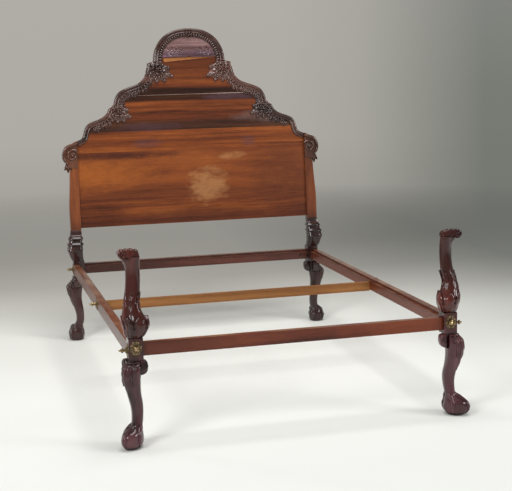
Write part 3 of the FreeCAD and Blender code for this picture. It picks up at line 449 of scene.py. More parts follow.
def tube(path, radii, sides=10, closed=False):
    """A round bar of changing thickness along a path of points."""
    rings, normal = [], None
    count = len(path)
    for step, (point, radius) in enumerate(zip(path, radii)):
        before = path[step - 1] if closed or step else point
        after = path[(step + 1) % count] if closed or step < count - 1 else point
        along = (after - before).normalized()
        normal = along.orthogonal() if normal is None else normal - along * normal.dot(along)
        normal.normalize()
        side = along.cross(normal)
        outs = [cos(a) * normal + sin(a) * side for a in whole_turn(sides)]
        rings.append([point + radius * out for out in outs])
    return rings_solid(rings, closed)


def new_piece(name, solids, material, stands_for=()):
    """A piece of the bedstead made of one or more solids. It can stand for CAD nodes."""
    points, faces = [], []
    for solid_points, solid_faces in solids:
        base = len(points)
        points += solid_points
        faces += [tuple(base + index for index in face) for face in solid_faces]
    mesh = bpy.data.meshes.new(name)
    mesh.from_pydata(points, [], faces)
    shape = bmesh.new()
    shape.from_mesh(mesh)
    bmesh.ops.recalc_face_normals(shape, faces=shape.faces)
    shape.to_mesh(mesh)
    shape.free()
    mesh.shade_smooth()
    mesh.set_sharp_from_angle(angle=radians(CARVED_SHARP_DEGREES))
    mesh.materials.append(material)
    piece = bpy.data.objects.new(name, mesh)
    scene.collection.objects.link(piece)
    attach(piece, "bedstead")
    if stands_for:
        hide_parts(*stands_for)


def leaf_half(along, lobes, root):
    """Half the width of a leaf as a share of its widest, with a notched edge."""
    scallop = 1 - NOTCH + NOTCH * abs(sin(pi * lobes * along)) ** BLUNT
    return max(sin(pi * (root + (1 - root) * along)) ** BLUNT * scallop, LEAF_TIP)


def leaf(at, lobes, relief, curl=0.0, root=0.35, mesh=FINE):
    """A carved leaf with a sunk midrib and slanting veins, laid on a surface by at(along, across, up)."""
    def places(along, share):
        across = 2 * share - 1
        vein = 0.5 + 0.5 * cos(2 * pi * (lobes * along - VEIN_SLANT * abs(across)))
        body = (1 - across ** 2) * (1 - VEIN_DEPTH + VEIN_DEPTH * vein)
        midrib = MIDRIB_DEPTH * exp(-(across / MIDRIB_WIDTH) ** 2)
        height = relief * (LEAF_EDGE + (1 - LEAF_EDGE) * body - midrib) + curl * along ** 3
        aside = across * leaf_half(along, lobes, root)
        return at(along, aside, height), at(along, aside, -SINK)

    return sheet(*mesh, places)


# Carving on surfaces. Each of these takes at(across, up, lift), which gives points on and off a surface.

def knob(at, half_long, half_wide, rise, profile, sides):
    """A round or oval knob that stands on a surface."""
    rings = []
    for share, height in profile:
        long, wide, lift = half_long * share, half_wide * share, rise * height - SINK
        rings.append([at(long * cos(a), wide * sin(a), lift) for a in whole_turn(sides)])
    return rings_solid(rings)


def boss(at, radius, rise):
    """A round knob."""
    return knob(at, radius, radius, rise, BOSS_PROFILE, BOSS_SIDES)


def on_face(origin, right, up, out):
    """Points on a flat face, from its own middle and directions."""
    def at(across, height, lift):
        return origin + right * across + up * height + out * lift
    return at


def volute(at, start_degrees, turns, radius, thick):
    """A bar that curls in to a knob in its eye."""
    path, radii = [], []
    for step in range(SPIRAL_STEPS + 1):
        share = step / SPIRAL_STEPS
        reach = radius * (1 - (1 - EYE_SHARE) * share)
        turn = radians(start_degrees + 360 * turns * share)
        path.append(at(reach * cos(turn), reach * sin(turn), 0.0))
        radii.append(thick * (1 - SPIRAL_THINS * share))
    return [tube(path, radii, 8), boss(at, EYE_KNOB * radius, EYE_RISE * thick)]


# The headboard, measured on its leaning front: across from the middle, up from its lower edge, and forwards.
BOARD_FOOT = Vector((0.0, 0.98015, 0.656))
RAKE = radians(5)
CREST_HIGH, HALF_WIDTH, STILE_X, SHOULDER_TOP = 1.139, 0.741, 0.686, 0.50116


def on_board(across, height, front):
    """A point in front of the leaning boards."""
    back = height * sin(RAKE) - front * cos(RAKE)
    up = height * cos(RAKE) + front * sin(RAKE)
    return BOARD_FOOT + Vector((across, back, up))


def along_board(side, root, heading, front=0.0):
    """Points on the boards, measured from a root along a heading, across it and forwards."""
    cross = Vector((-heading.y, heading.x))

    def at(along, across, lift):
        place = root + heading * along + cross * across
        return on_board(side * place.x, place.y, front + lift)

    return at


def board_way(degrees):
    """A direction on the boards, turned from the way inwards towards the way down."""
    return -Vector((cos(radians(degrees)), sin(radians(degrees))))


def smooth_line(points, spans):
    """Points on a smooth curve through the given ones, with so many steps between each two."""
    padded = [2 * points[0] - points[1], *points, 2 * points[-1] - points[-2]]
    found = []
    for p0, p1, p2, p3 in zip(padded, padded[1:], padded[2:], padded[3:]):
        for step in range(spans):
            t = step / spans
            found.append(0.5 * (
                2 * p1 + (p2 - p0) * t + (2 * p0 - 5 * p1 + 4 * p2 - p3) * t ** 2
                + (3 * p1 - p0 - 3 * p2 + p3) * t ** 3
            ))
    return found + [points[-1]]


def evenly(line, gap):
    """Points at even distances along a line, each with the line's direction there."""
    found, left = [], gap / 2
    for start, stop in zip(line, line[1:]):
        length = (stop - start).length
        while left <= length:
            found.append((start.lerp(stop, left / length), (stop - start).normalized()))
            left += gap
        left -= length
    return found


LOWER_SWEEP_SHARES = [
    (0.88, 0.455), (0.865, 0.479), (0.856, 0.499), (0.834, 0.5215), (0.794, 0.536), (0.731, 0.5505),
    (0.688, 0.569), (0.661, 0.599),
]
UPPER_SWEEP_SHARES = [
    (0.621, 0.612), (0.615, 0.634), (0.603, 0.656), (0.574, 0.682), (0.52, 0.7), (0.4615, 0.713),
    (0.413, 0.726), (0.374, 0.748), (0.352, 0.77), (0.3415, 0.796), (0.337, 0.825),
]
ARCH_SHARES = [
    (0.289, 0.832), (0.286, 0.854), (0.278, 0.881), (0.259, 0.911), (0.224, 0.945), (0.17, 0.973),
    (0.101, 0.992),
]


def crest_points(shares):
    """Crest points on the right half, across and up, in metres."""
    return [Vector((across * HALF_WIDTH, height * CREST_HIGH)) for across, height in shares]


arch_right = crest_points(ARCH_SHARES)
arch_left = [Vector((-point.x, point.y)) for point in reversed(arch_right)]
CREST_LINES = {
    "lower": smooth_line([Vector((STILE_X, SHOULDER_TOP)), *crest_points(LOWER_SWEEP_SHARES)], 6),
    "upper": smooth_line(crest_points(UPPER_SWEEP_SHARES), 6),
    "arch": smooth_line([*arch_right, Vector((0, CREST_HIGH)), *arch_left], 6),
}
# Moulding: distance in from the crest's edge, and height in front of the boards.
MOULDING = [
    (0.0, -0.001), (0.0, 0.005), (0.001, 0.0095), (0.0035, 0.013), (0.0075, 0.0148), (0.0115, 0.014),
    (0.0145, 0.011), (0.016, 0.0075), (0.0185, 0.0065), (0.021, 0.0085), (0.024, 0.0105), (0.027, 0.0095),
    (0.0295, 0.006), (0.0308, 0.002), (0.031, -0.001),
]


def inward(direction):
    """The way from the crest's edge into the board, for a line that runs up the right side."""
    return Vector((-direction.y, direction.x))


def moulding(line, side):
    """The crest's moulding along one of its lines."""
    rings = []
    for step, point in enumerate(line):
        direction = (line[min(step + 1, len(line) - 1)] - line[max(step - 1, 0)]).normalized()
        places = [(point + inward(direction) * depth, front) for depth, front in MOULDING]
        rings.append([on_board(side * place.x, place.y, front) for place, front in places])
    return rings_solid(rings)


def board_leaf(side, root, degrees, length, width, lobes, relief, curl=0.0, mesh=FINE, front=0.0):
    """A leaf lying on the boards, from its root along a direction."""
    on_leaf = along_board(side, root, board_way(degrees), front)

    def at(along, across, up):
        return on_leaf(along * length, across * width / 2, up)

    return leaf(at, lobes, relief, curl, mesh=mesh)


# Crest mouldings with a row of gadroons inside each, and the leaves that overlap along the sweeps.
# Gadroons: the gap between them, their depth in from the edge, half length, half width and rise.
SWEEP_GADROONS = (0.015, 0.034, 0.008, 0.0066, 0.011)
GADROONS = {"lower": SWEEP_GADROONS, "upper": SWEEP_GADROONS, "arch": (0.0172, 0.04, 0.015, 0.008, 0.0145)}
SWEEP_LEAF_GAP, SWEEP_LEAF_ROOT, SWEEP_LEAF_TURN = 0.0165, 0.036, 128
SWEEP_LEAF_LENGTHS = (0.03, 0.037, 0.044)
# Share of each line that is left plain, at its lower end.
PLAIN_SHARES = {"lower": 0.58, "upper": 0.0, "arch": 0.0}


def carved_places(part, gap):
    """Places along a line of the crest where it is carved, with the line's direction there."""
    places = evenly(CREST_LINES[part], gap)
    return places[int(PLAIN_SHARES[part] * len(places)):]


for part, line in CREST_LINES.items():
    gap, depth, *size = GADROONS[part]
    for hand, side in SIDES.items():
        if part == "arch" and hand == "left":
            continue
        solids = [moulding(line, side)]
        for place, direction in carved_places(part, gap):
            into = inward(direction)
            solids.append(knob(along_board(side, place + into * depth, into), *size, EGG_PROFILE, EGG_SIDES))
        name = "crest_arch" if part == "arch" else f"crest_{part}_{hand}"
        new_piece(f"{name}_moulding", solids, crest_wood, [name])
        if part == "arch":
            continue
        leaves = []
        for number, (place, direction) in enumerate(carved_places(part, SWEEP_LEAF_GAP)):
            turn = math.degrees(atan2(-direction.y, -direction.x)) + SWEEP_LEAF_TURN
            root = place + inward(direction) * SWEEP_LEAF_ROOT
            length = SWEEP_LEAF_LENGTHS[number % len(SWEEP_LEAF_LENGTHS)]
            leaves.append(board_leaf(
                side, root, turn, length, width=0.026, lobes=2, relief=0.0085, curl=0.001, mesh=SMALL
            ))
        new_piece(f"{name}_leaves", leaves, crest_wood)

# The field in the arch: a low dome with faint rays, and leaves that grow in from its lower corners.
FIELD_HALF, FIELD_HIGH, FIELD_FOOT, FIELD_MESH = 0.166, 0.126, 0.852 * CREST_HIGH, (103, 14)
FIELD_MIDDLE, FIELD_EDGE, FIELD_SWELL, FIELD_RAYS, RAY_RISE = 0.06, 0.0035, 0.003, 17, 0.0007
FIELD_CORNER, FIELD_EYE = Vector((0.128, FIELD_FOOT + 0.012)), Vector((0.052, FIELD_FOOT + 0.03))
FIELD_LEAVES, FIELD_CURL_FRONT = [(-8, 0.092), (-36, 0.082), (-66, 0.062)], 0.0075


def field_places(turn_share, out_share):
    """A point on the dome, and the one on the boards under it."""
    share = FIELD_MIDDLE + (1 - FIELD_MIDDLE) * out_share
    angle = pi * turn_share
    rays = RAY_RISE * share * cos(2 * FIELD_RAYS * angle)
    across = FIELD_HALF * share * cos(angle)
    height = FIELD_FOOT + FIELD_HIGH * share * sin(angle)
    dome = FIELD_EDGE + FIELD_SWELL * (1 - share ** 2)
    return on_board(across, height, dome + rays), on_board(across, height, -SINK)


solids = [sheet(*FIELD_MESH, field_places)]
for side in SIDES.values():
    for degrees, length in FIELD_LEAVES:
        solids.append(board_leaf(
            side, FIELD_CORNER, degrees, length, width=0.028, lobes=4, relief=0.0105, curl=0.002
        ))
    on_field = along_board(side, FIELD_EYE, RIGHT, FIELD_CURL_FRONT)
    solids += volute(on_field, start_degrees=90, turns=1.3, radius=0.018, thick=0.0036)
new_piece("arch_field", solids, sheen_field_wood, ["lunette"])

# A sliver of paler wood let in under the field.
SLIVER = [
    (-0.15, 0.944), (-0.154, 0.966), (-0.08, 0.969), (0.0, 0.9695), (0.152, 0.97), (0.01, 0.957),
]
SLIVER_FRONT = 0.0012
faces = [[on_board(*place, front) for place in SLIVER] for front in (SLIVER_FRONT, -SINK)]
new_piece("arch_sliver", [rings_solid(faces)], sliver_wood)

# A painted highlight: a pale bar along one of the joints between the boards, wider towards the right.
EDGE_PLACES, EDGE_RADII = [(-0.345, 0.7535), (0.0, 0.754), (0.325, 0.7545)], (0.0006, 0.0014, 0.0021)
joint_highlight = tube([on_board(*place, 0.0) for place in EDGE_PLACES], EDGE_RADII, 8)
new_piece("joint_highlight_bar", [joint_highlight], painted_highlight_wood)

# Leaf sprays in the steps of the crest: leaves with a knob at each tip, buds and curling stems over them, and
# a sunk ground between the leaves.
# Sprays: root and scale. Leaves: degrees, length and width. Buds: degrees and length. Curls: degrees,
# distance, radius and turns.
SPRAYS = {"upper": (Vector((0.232, 0.922)), 1.0), "lower": (Vector((0.468, 0.68)), 0.82)}
SPRAY_LEAVES = [
    (-14, 0.07, 0.04), (6, 0.114, 0.048), (26, 0.148, 0.052), (47, 0.126, 0.05), (69, 0.104, 0.046),
    (92, 0.088, 0.042), (116, 0.066, 0.036),
]
SPRAY_GROUND_SHARE, SPRAY_GROUND_FRONT = 0.88, 0.003
SPRAY_BUDS = [(-2, 0.06), (18, 0.078), (37, 0.086), (58, 0.078), (80, 0.066)]
SPRAY_CURLS = [(16, 0.056, 0.02, 1.3), (40, 0.094, 0.015, -1.3), (70, 0.052, 0.017, -1.3)]
SPRAY_CURL_FRONT, TIP_SHARE, TIP_RADIUS, TIP_RISE = 0.013, 0.93, 0.011, 0.014
for part, (root, scale) in SPRAYS.items():
    for hand, side in SIDES.items():
        reach = SPRAY_GROUND_SHARE * scale
        tips = [root + board_way(degrees) * (reach * length) for degrees, length, _ in SPRAY_LEAVES]
        solids = [rings_solid([
            [on_board(side * place.x, place.y, front) for place in smooth_line([root, *tips], 4)]
            for front in (-SINK, SPRAY_GROUND_FRONT)
        ])]
        for degrees, length, width in SPRAY_LEAVES:
            length *= scale
            solids.append(board_leaf(side, root, degrees, length, width, lobes=4, relief=0.0105, curl=0.003))
            tip = root + board_way(degrees) * (TIP_SHARE * length)
            solids.append(boss(along_board(side, tip, RIGHT), TIP_RADIUS, TIP_RISE))
        for degrees, length in SPRAY_BUDS:
            length *= scale
            solids.append(board_leaf(
                side, root, degrees, length, width=0.022, lobes=3, relief=0.018, curl=0.002, mesh=SMALL
            ))
        for degrees, away, radius, turns in SPRAY_CURLS:
            eye = root + board_way(degrees) * (away * scale)
            solids += volute(along_board(side, eye, RIGHT, SPRAY_CURL_FRONT), 90, turns, radius, thick=0.0044)
        new_piece(f"spray_{part}_{hand}_leaves", solids, crest_wood, [f"spray_{part}_{hand}"])

# Three small leaves on top of the arch.
FINIAL_ROOT, FINIAL_TURNS = Vector((0.0, 1.088)), (-58, -90, -122)
finial = [
    board_leaf(1, FINIAL_ROOT, degrees, length=0.044, width=0.022, lobes=3, relief=0.02)
    for degrees in FINIAL_TURNS
]
new_piece("finial_leaves", finial, crest_wood, ["finial"])

# Scrolls on the shoulders of the headboard, with a roll round their edges and small leaves that curl below.
SHOULDER_EYE, SHOULDER_FRONT = Vector((0.713, 0.42)), 0.018
SHOULDER_WIDE, SHOULDER_FOOT = 0.0861, 0.349
SHOULDER_SHARES = [
    (0.0, 1.0), (0.16, 0.965), (0.34, 0.915), (0.69, 0.85), (0.907, 0.7), (1.0, 0.52), (0.98, 0.355),
    (0.83, 0.205), (0.65, 0.105),
]
SHOULDER_ROOT, SHOULDER_LEAVES = Vector((0.742, 0.372)), [(62, 0.046), (92, 0.052), (122, 0.042)]
ROLL_RADIUS, ROLL_INSET, ROLL_THINS = 0.0105, 0.0085, 0.5
edge = smooth_line([
    Vector((STILE_X + out * SHOULDER_WIDE, SHOULDER_FOOT + up * (SHOULDER_TOP - SHOULDER_FOOT)))
    for out, up in SHOULDER_SHARES
], 6)
roll = [
    place + inward((before - after).normalized()) * ROLL_INSET
    for before, place, after in zip(edge, edge[1:], edge[2:])
]
radii = [ROLL_RADIUS * (1 - ROLL_THINS * step / len(roll)) for step in range(len(roll))]
for hand, side in SIDES.items():
    solids = [tube([on_board(side * place.x, place.y, SHOULDER_FRONT) for place in roll], radii, 12)]
    on_shoulder = along_board(side, SHOULDER_EYE, RIGHT, SHOULDER_FRONT)
    solids += volute(on_shoulder, start_degrees=150, turns=-1.3, radius=0.036, thick=0.0075)
    for degrees, length in SHOULDER_LEAVES:
        solids.append(board_leaf(
            side, SHOULDER_ROOT, degrees, length, width=0.022, lobes=2, relief=0.009, front=0.01
        ))
    new_piece(f"shoulder_{hand}_scroll", solids, shoulder_wood)

# The posts. A place on a post is a height and a turn: 0 degrees looks out sideways, 90 towards the foot end.
POST_X, POST_Y = 0.71, {"foot": -1.02685, "head": 0.97315}
LEG_OUT = {"foot": (0.028, -0.028), "head": (0.028, 0.0)}
LEG_TURN = {"foot": 45, "head": 0}
LEG_LOOKS = {"foot": carved_wood, "head": shaded_post_wood}
LOOK_FROM, AXIS_STEP, AXIS_TOP, ROUND_STEPS = 0.4, 0.01, 0.86, 48


def seen(node, start, way):
    """Where a look along a way first meets a CAD node."""
    hit, place, _, _ = node.ray_cast(start, way)
    return place if hit else None


def post_axis(node, middle):
    """The middles of a post's sections, one for each step of height from the floor up."""
    middles = []
    for step in range(1, int(AXIS_TOP / AXIS_STEP)):
        middle = Vector((middle.x, middle.y, step * AXIS_STEP))
        for way in (Vector((1, 0, 0)), Vector((0, 1, 0))):
            near = seen(node, middle - way * LOOK_FROM, way)
            far = seen(node, middle + way * LOOK_FROM, -way)
            if near and far:
                middle += way * ((near + far) / 2 - middle).dot(way)
        middles.append(middle)
    return middles


def post_surface(end, hand):
    """A function that gives the point of a post's surface at a height and a turn, lifted off it."""
    node, side = nodes[f"{end}_post_{hand}"], SIDES[hand]
    out_x, out_y = LEG_OUT[end]
    axis = post_axis(node, Vector((side * (POST_X + out_x), POST_Y[end] + out_y, 0)))

    def at(height, degrees, lift):
        step = min(max(height / AXIS_STEP - 1, 0), len(axis) - 2)
        middle = axis[int(step)].lerp(axis[int(step) + 1], step % 1)
        turn = radians(degrees)
        out = Vector((side * cos(turn), -sin(turn), 0))
        place = seen(node, Vector((middle.x, middle.y, height)) + out * LOOK_FROM, -out)
        return (place or middle) + out * lift

    return at


def post_leaf(at, low, high, turn, half_turn, lobes, relief, curl=0.0, root=0.35):
    """A leaf on a post, from its root at one height to its tip at another."""
    def place(along, across, up):
        return at(low + (high - low) * along, turn + half_turn * across, up)
    return leaf(place, lobes, relief, curl, root)


def round_post(at, height, first, last, radius, lift=0.0):
    """A bar that runs round a post at one height, or all the way round it as a band."""
    whole = last - first >= 360
    steps = ROUND_STEPS if whole else ROUND_STEPS + 1
    turns = [first + (last - first) * step / ROUND_STEPS for step in range(steps)]
    path = [at(height, turn, lift) for turn in turns]
    return tube(path, [radius] * steps, 8, closed=whole)


# Toes of the claw: heights, and the thickness of the toe there.
TOE_HEIGHTS = (0.104, 0.095, 0.085, 0.074, 0.063, 0.05, 0.036, 0.022, 0.01)
TOE_RADII = (0.004, 0.0096, 0.012, 0.0084, 0.0084, 0.0108, 0.008, 0.0056, 0.0026)
TOE_TURNS = (45, 130, 225, 320)
TOE_SMOOTH, TOE_LIFT, TOE_SCALES = 4, -0.15, {"foot": 1.0, "head": 0.87}
# Knees: heights, turns away from the middle, and the radius that their scrolls are laid out on.
KNEE_TOP, KNEE_FOOT, KNEE_SIDE_FOOT, KNEE_RIM, KNEE_EYE = 0.368, 0.205, 0.27, 0.369, 0.352
KNEE_SIDE_TURN, KNEE_EYE_TURN, KNEE_RIM_TURN, KNEE_ROUND = 42, 58, 88, 0.062


def toe(at, turn, scale):
    """One toe of a claw that grips the ball."""
    path = [at(height * scale, turn, TOE_LIFT * radius) for height, radius in zip(TOE_HEIGHTS, TOE_RADII)]
    return tube(smooth_line(path, TOE_SMOOTH), smooth_line(TOE_RADII, TOE_SMOOTH), 10)


def knee(at, turn):
    """The carving of a knee: a leaf, a smaller one each side of it, and a rim that ends in two scrolls."""
    solids = [post_leaf(at, KNEE_TOP, KNEE_FOOT, turn, half_turn=30, lobes=4, relief=0.006, curl=-0.0015)]
    for way in (-1, 1):
        aside = turn + way * KNEE_SIDE_TURN
        solids.append(post_leaf(
            at, KNEE_TOP, KNEE_SIDE_FOOT, aside, half_turn=17, lobes=3, relief=0.005, curl=0.002
        ))
    first, last = turn - KNEE_RIM_TURN, turn + KNEE_RIM_TURN
    solids.append(round_post(at, KNEE_RIM, first, last, radius=0.0056, lift=0.002))
    for way in (-1, 1):
        def on_knee(across, height, lift, eye=turn + way * KNEE_EYE_TURN):
            return at(KNEE_EYE + height, eye + math.degrees(across / KNEE_ROUND), lift)
        solids += volute(on_knee, start_degrees=90, turns=way * 1.3, radius=0.017, thick=0.004)
    return solids


for end in POST_Y:
    for hand in SIDES:
        at = post_surface(end, hand)
        toes = [toe(at, turn, TOE_SCALES[end]) for turn in TOE_TURNS]
        new_piece(f"{end}_post_{hand}_claw", toes, LEG_LOOKS[end])
        new_piece(f"{end}_post_{hand}_knee", knee(at, LEG_TURN[end]), LEG_LOOKS[end])

# Leaves round the cup of each foot post, with raised rims, and round the shaft above it.
LEAVES_ROUND, RIM_STEPS, RIM_RADIUS, RIM_LOW_LIFT, RIM_LIFT = 6, 20, 0.0021, 0.00096, 0.0032
CUP_FOOT, CUP_TIP, CUP_RIM_TIP, SHAFT_FOOT, SHAFT_TIP = 0.475, 0.566, 0.562, 0.548, 0.66
CUP_SHAPE = {"half_turn": 33, "lobes": 2, "root": 0.25}
# How far tips curl out, and how much further they do towards the bed.
CUP_CURL, CUP_INNER_CURL, SHAFT_CURL, SHAFT_INNER_CURL = 0.004, 0.01, 0.002, 0.006


def leaf_rim(at, low, high, turn, half_turn, lobes, root):
    """A raised bead along the edge of a leaf on a post."""
    shares = [step / RIM_STEPS for step in range(RIM_STEPS)]
    path = []
    for along, way in [(share, -1) for share in shares] + [(1 - share, 1) for share in shares]:
        aside = way * half_turn * leaf_half(along, lobes, root)
        path.append(at(low + (high - low) * along, turn + aside, RIM_LOW_LIFT + RIM_LIFT * along))
    return tube(path, [RIM_RADIUS] * len(path), 8)


def turns_round(shift):
    """The turns of leaves round a foot post, each with how far it looks in towards the bed."""
    turns = [LEG_TURN["foot"] + 360 * (number + shift) / LEAVES_ROUND for number in range(LEAVES_ROUND)]
    return [(turn, max(0.0, -cos(radians(turn)))) for turn in turns]


for hand in SIDES:
    at = post_surface("foot", hand)
    solids = []
    for turn, inner in turns_round(0.0):
        curl = CUP_CURL + CUP_INNER_CURL * inner
        solids.append(post_leaf(at, CUP_FOOT, CUP_TIP, turn, **CUP_SHAPE, relief=0.0055, curl=curl))
        solids.append(leaf_rim(at, CUP_FOOT, CUP_RIM_TIP, turn, **CUP_SHAPE))
    for turn, inner in turns_round(0.5):
        curl = SHAFT_CURL + SHAFT_INNER_CURL * inner
        solids.append(post_leaf(
            at, SHAFT_FOOT, SHAFT_TIP, turn, half_turn=27, lobes=3, relief=0.0036, curl=curl, root=0.3
        ))
    new_piece(f"foot_post_{hand}_leaves", solids, carved_wood)

# The scrolled top of each foot post: a cove under it on the outer side, reeds across it, and spirals.
# The cove: height, and flare outwards. A reed: share along it, and thickness there.
NECK = [(0.742, -0.001), (0.756, 0.001), (0.768, 0.0028), (0.778, 0.0052), (0.787, 0.008), (0.795, 0.011)]
NECK_TOP, NECK_SIDES, FLARE_NARROWS, ABOVE_POST = 0.806, 48, 1.5, 1.2
REEDS, REED_FIRST, REED_GAP, REED_RADIUS, REED_SINK = 4, -0.018, 0.0205, 0.0112, 0.0062
REED_ENDS, SCROLL_FACES, SCROLL_EYE = (-0.012, 0.028), {"front": -0.015, "back": 0.031}, (0.041, 0.8235)
REED_PROFILE = [(0.0, 0.45), (0.1, 0.85), (0.25, 1.0), (0.75, 1.0), (0.9, 0.85), (1.0, 0.45)]
for hand, side in SIDES.items():
    post = nodes[f"foot_post_{hand}"]
    at = post_surface("foot", hand)
    neck = []
    for height, flare in NECK:
        turns = [360 * step / NECK_SIDES for step in range(NECK_SIDES)]
        outwards = [max(0.0, cos(radians(turn))) ** FLARE_NARROWS for turn in turns]
        neck.append([at(height, turn, flare * share - SINK) for turn, share in zip(turns, outwards)])
    neck.append([Vector((point.x, point.y, NECK_TOP)) for point in neck[-1]])
    solids = [rings_solid(neck)]
    for number in range(REEDS):
        x = side * (POST_X + REED_FIRST + REED_GAP * number)
        near, far = (POST_Y["foot"] + end for end in REED_ENDS)
        crown = seen(post, Vector((x, (near + far) / 2, ABOVE_POST)), -UP)
        path = [Vector((x, near + share * (far - near), crown.z - REED_SINK)) for share, _ in REED_PROFILE]
        solids.append(tube(path, [REED_RADIUS * thick for _, thick in REED_PROFILE], 10))
    for face, depth in SCROLL_FACES.items():
        out = FRONT if face == "front" else -FRONT
        middle = Vector((side * (POST_X + SCROLL_EYE[0]), POST_Y["foot"] + depth, SCROLL_EYE[1]))
        on_scroll = on_face(middle, Vector((side, 0, 0)), UP, out)
        solids += volute(on_scroll, start_degrees=90, turns=-1.5, radius=0.015, thick=0.003)
    new_piece(f"foot_post_{hand}_scroll", solids, carved_wood)

# Ears: rounded lobes with a spiral, one under the end rail and one under the side rail. For each end of the
# bed: where the two faces of each ear lie, measured from the post's middle, and where it leaves the post.
EARS = {
    "foot": ((-0.0326, 0.0013, 0.012), (-0.0014, 0.048, 0.012)),
    "head": ((-0.017, 0.017, 0.012), (-0.0014, 0.034, 0.024)),
}
EAR_TOP, EAR_HIGH, EAR_REACH = 0.3765, 0.0655, 0.0492
# The lobe's outline, out from the post and up, and its size across its thickness.
EAR_LOBE_SHARES = [
    (0.0, 1.0), (0.46, 1.0), (0.78, 0.96), (0.95, 0.83), (1.0, 0.62), (0.97, 0.38), (0.85, 0.19),
    (0.62, 0.08), (0.32, 0.02), (0.0, 0.0),
]
EAR_SIZE_SHARES = [(0.0, 0.84), (0.08, 0.95), (0.22, 1.0), (0.78, 1.0), (0.92, 0.95), (1.0, 0.84)]
EAR_EYE_SHARE, EAR_SPIRAL, EAR_BAR = (0.56, 0.6), 0.015, 0.0036


def ear(origin, reach, depth, near, far, root):
    """One ear: a lobe that reaches out from a post, with a spiral on its far face."""
    def place(share_out, share_up, away):
        out = root + (EAR_REACH - root) * share_out
        return origin + reach * out + UP * (EAR_HIGH * share_up) + depth * away

    lobe = smooth_line([Vector(share) for share in EAR_LOBE_SHARES], 4)
    middle = Vector(EAR_EYE_SHARE)
    rings = [
        [place(*(middle + (point - middle) * size), near + (far - near) * share) for point in lobe]
        for share, size in EAR_SIZE_SHARES
    ]
    eye = place(*EAR_EYE_SHARE, far)
    way_out = depth if far > near else -depth
    return [rings_solid(rings), *volute(on_face(eye, reach, UP, way_out), 90, -1.4, EAR_SPIRAL, EAR_BAR)]


for end, ((front, back, end_root), (inner, outer, side_root)) in EARS.items():
    inward_y = 1 if end == "foot" else -1
    for hand, side in SIDES.items():
        origin = Vector((side * POST_X, POST_Y[end], EAR_TOP - EAR_HIGH))
        solids = ear(origin, Vector((-side, 0, 0)), -FRONT, back, front, end_root)
        solids += ear(origin, Vector((0, inward_y, 0)), Vector((side, 0, 0)), inner, outer, side_root)
        new_piece(f"{end}_ears_{hand}_scrolls", solids, LEG_LOOKS[end], [f"{end}_ears_{hand}"])

# Collars of the head posts: a tapering sleeve with two beads round it, and a fine band above and below.
BAND_HEIGHTS, BAND_RADIUS, BAND_LIFT = (0.53, 0.641), 0.0024, -0.00072
SLEEVE_FOOT, SLEEVE_TOP, SLEEVE_STEPS, SLEEVE_SIDES, SLEEVE_LIFT = 0.534, 0.638, 26, 64, 0.0016
SLEEVE_BEADS, BEAD_HALF, BEAD_RISE = (0.566, 0.599), 0.0075, 0.007
for hand in SIDES:
    at = post_surface("head", hand)
    bands = [round_post(at, height, 0, 360, BAND_RADIUS, BAND_LIFT) for height in BAND_HEIGHTS]
    rings = []
    for step in range(SLEEVE_STEPS + 1):
        share = step / SLEEVE_STEPS
        height = SLEEVE_FOOT + (SLEEVE_TOP - SLEEVE_FOOT) * share
        beads = [max(0.0, 1 - ((height - bead) / BEAD_HALF) ** 2) ** 0.5 for bead in SLEEVE_BEADS]
        lift = SLEEVE_LIFT + BEAD_RISE * max(beads)
        turns = [360 * side / SLEEVE_SIDES for side in range(SLEEVE_SIDES)]
        rings.append([at(SLEEVE_FOOT, turn, lift).lerp(at(SLEEVE_TOP, turn, lift), share) for turn in turns])
    bands.append(rings_solid(rings))
    new_piece(f"head_post_{hand}_bands", bands, shaded_post_wood)

# Brass bolt covers: a flat seat for the collar, a raised ring, and eight petals, taller than wide.
COVER_STEPS, COVER_PETALS, COVER_THICK = 96, 8, 0.0023
COVER_EDGE, PETAL_REACH, PETAL_BLUNT, COVER_TALL = 0.0232, 0.0034, 0.6, 0.0062
# Radius, height and further height on a petal, from the bore outwards, and then measured from the edge.
COVER_RINGS = [
    (0.0042, 0.0, 0.0), (0.0042, COVER_THICK, 0.0), (0.0124, COVER_THICK, 0.0), (0.0132, 0.0036, 0.0),
    (0.015, 0.0044, 0.0), (0.0167, 0.0034, 0.0), (0.0176, COVER_THICK, 0.0), (0.02, COVER_THICK, 0.0018),
    (0.0222, 0.0018, 0.002),
]
EDGE_RINGS = [(-0.0008, 0.0012, 0.0008), (0.0, 0.0004, 0.0), (0.0, 0.0, 0.0)]
covers = []
for joint in frame["joints"]:
    if joint["type"] != "hinge":
        continue
    out = Vector(joint["axis"])
    level = UP.cross(out)
    origin = Vector(joint["pos_m"])
    rings = []
    for angle in whole_turn(COVER_STEPS):
        petal = 0.5 - 0.5 * cos(COVER_PETALS * angle)
        edge = COVER_EDGE + PETAL_REACH * petal ** PETAL_BLUNT + COVER_TALL * sin(angle) ** 4
        outer = [(edge + inset, height, rise) for inset, height, rise in EDGE_RINGS]
        profile = [(radius, height + rise * petal) for radius, height, rise in COVER_RINGS + outer]
        ray = level * cos(angle) + UP * sin(angle)
        rings.append([origin + ray * radius + out * height for radius, height in profile])
    covers.append(rings_solid(rings, closed=True))
new_piece("bolt_covers", covers, tarnished_brass, ["bolt_plates"])

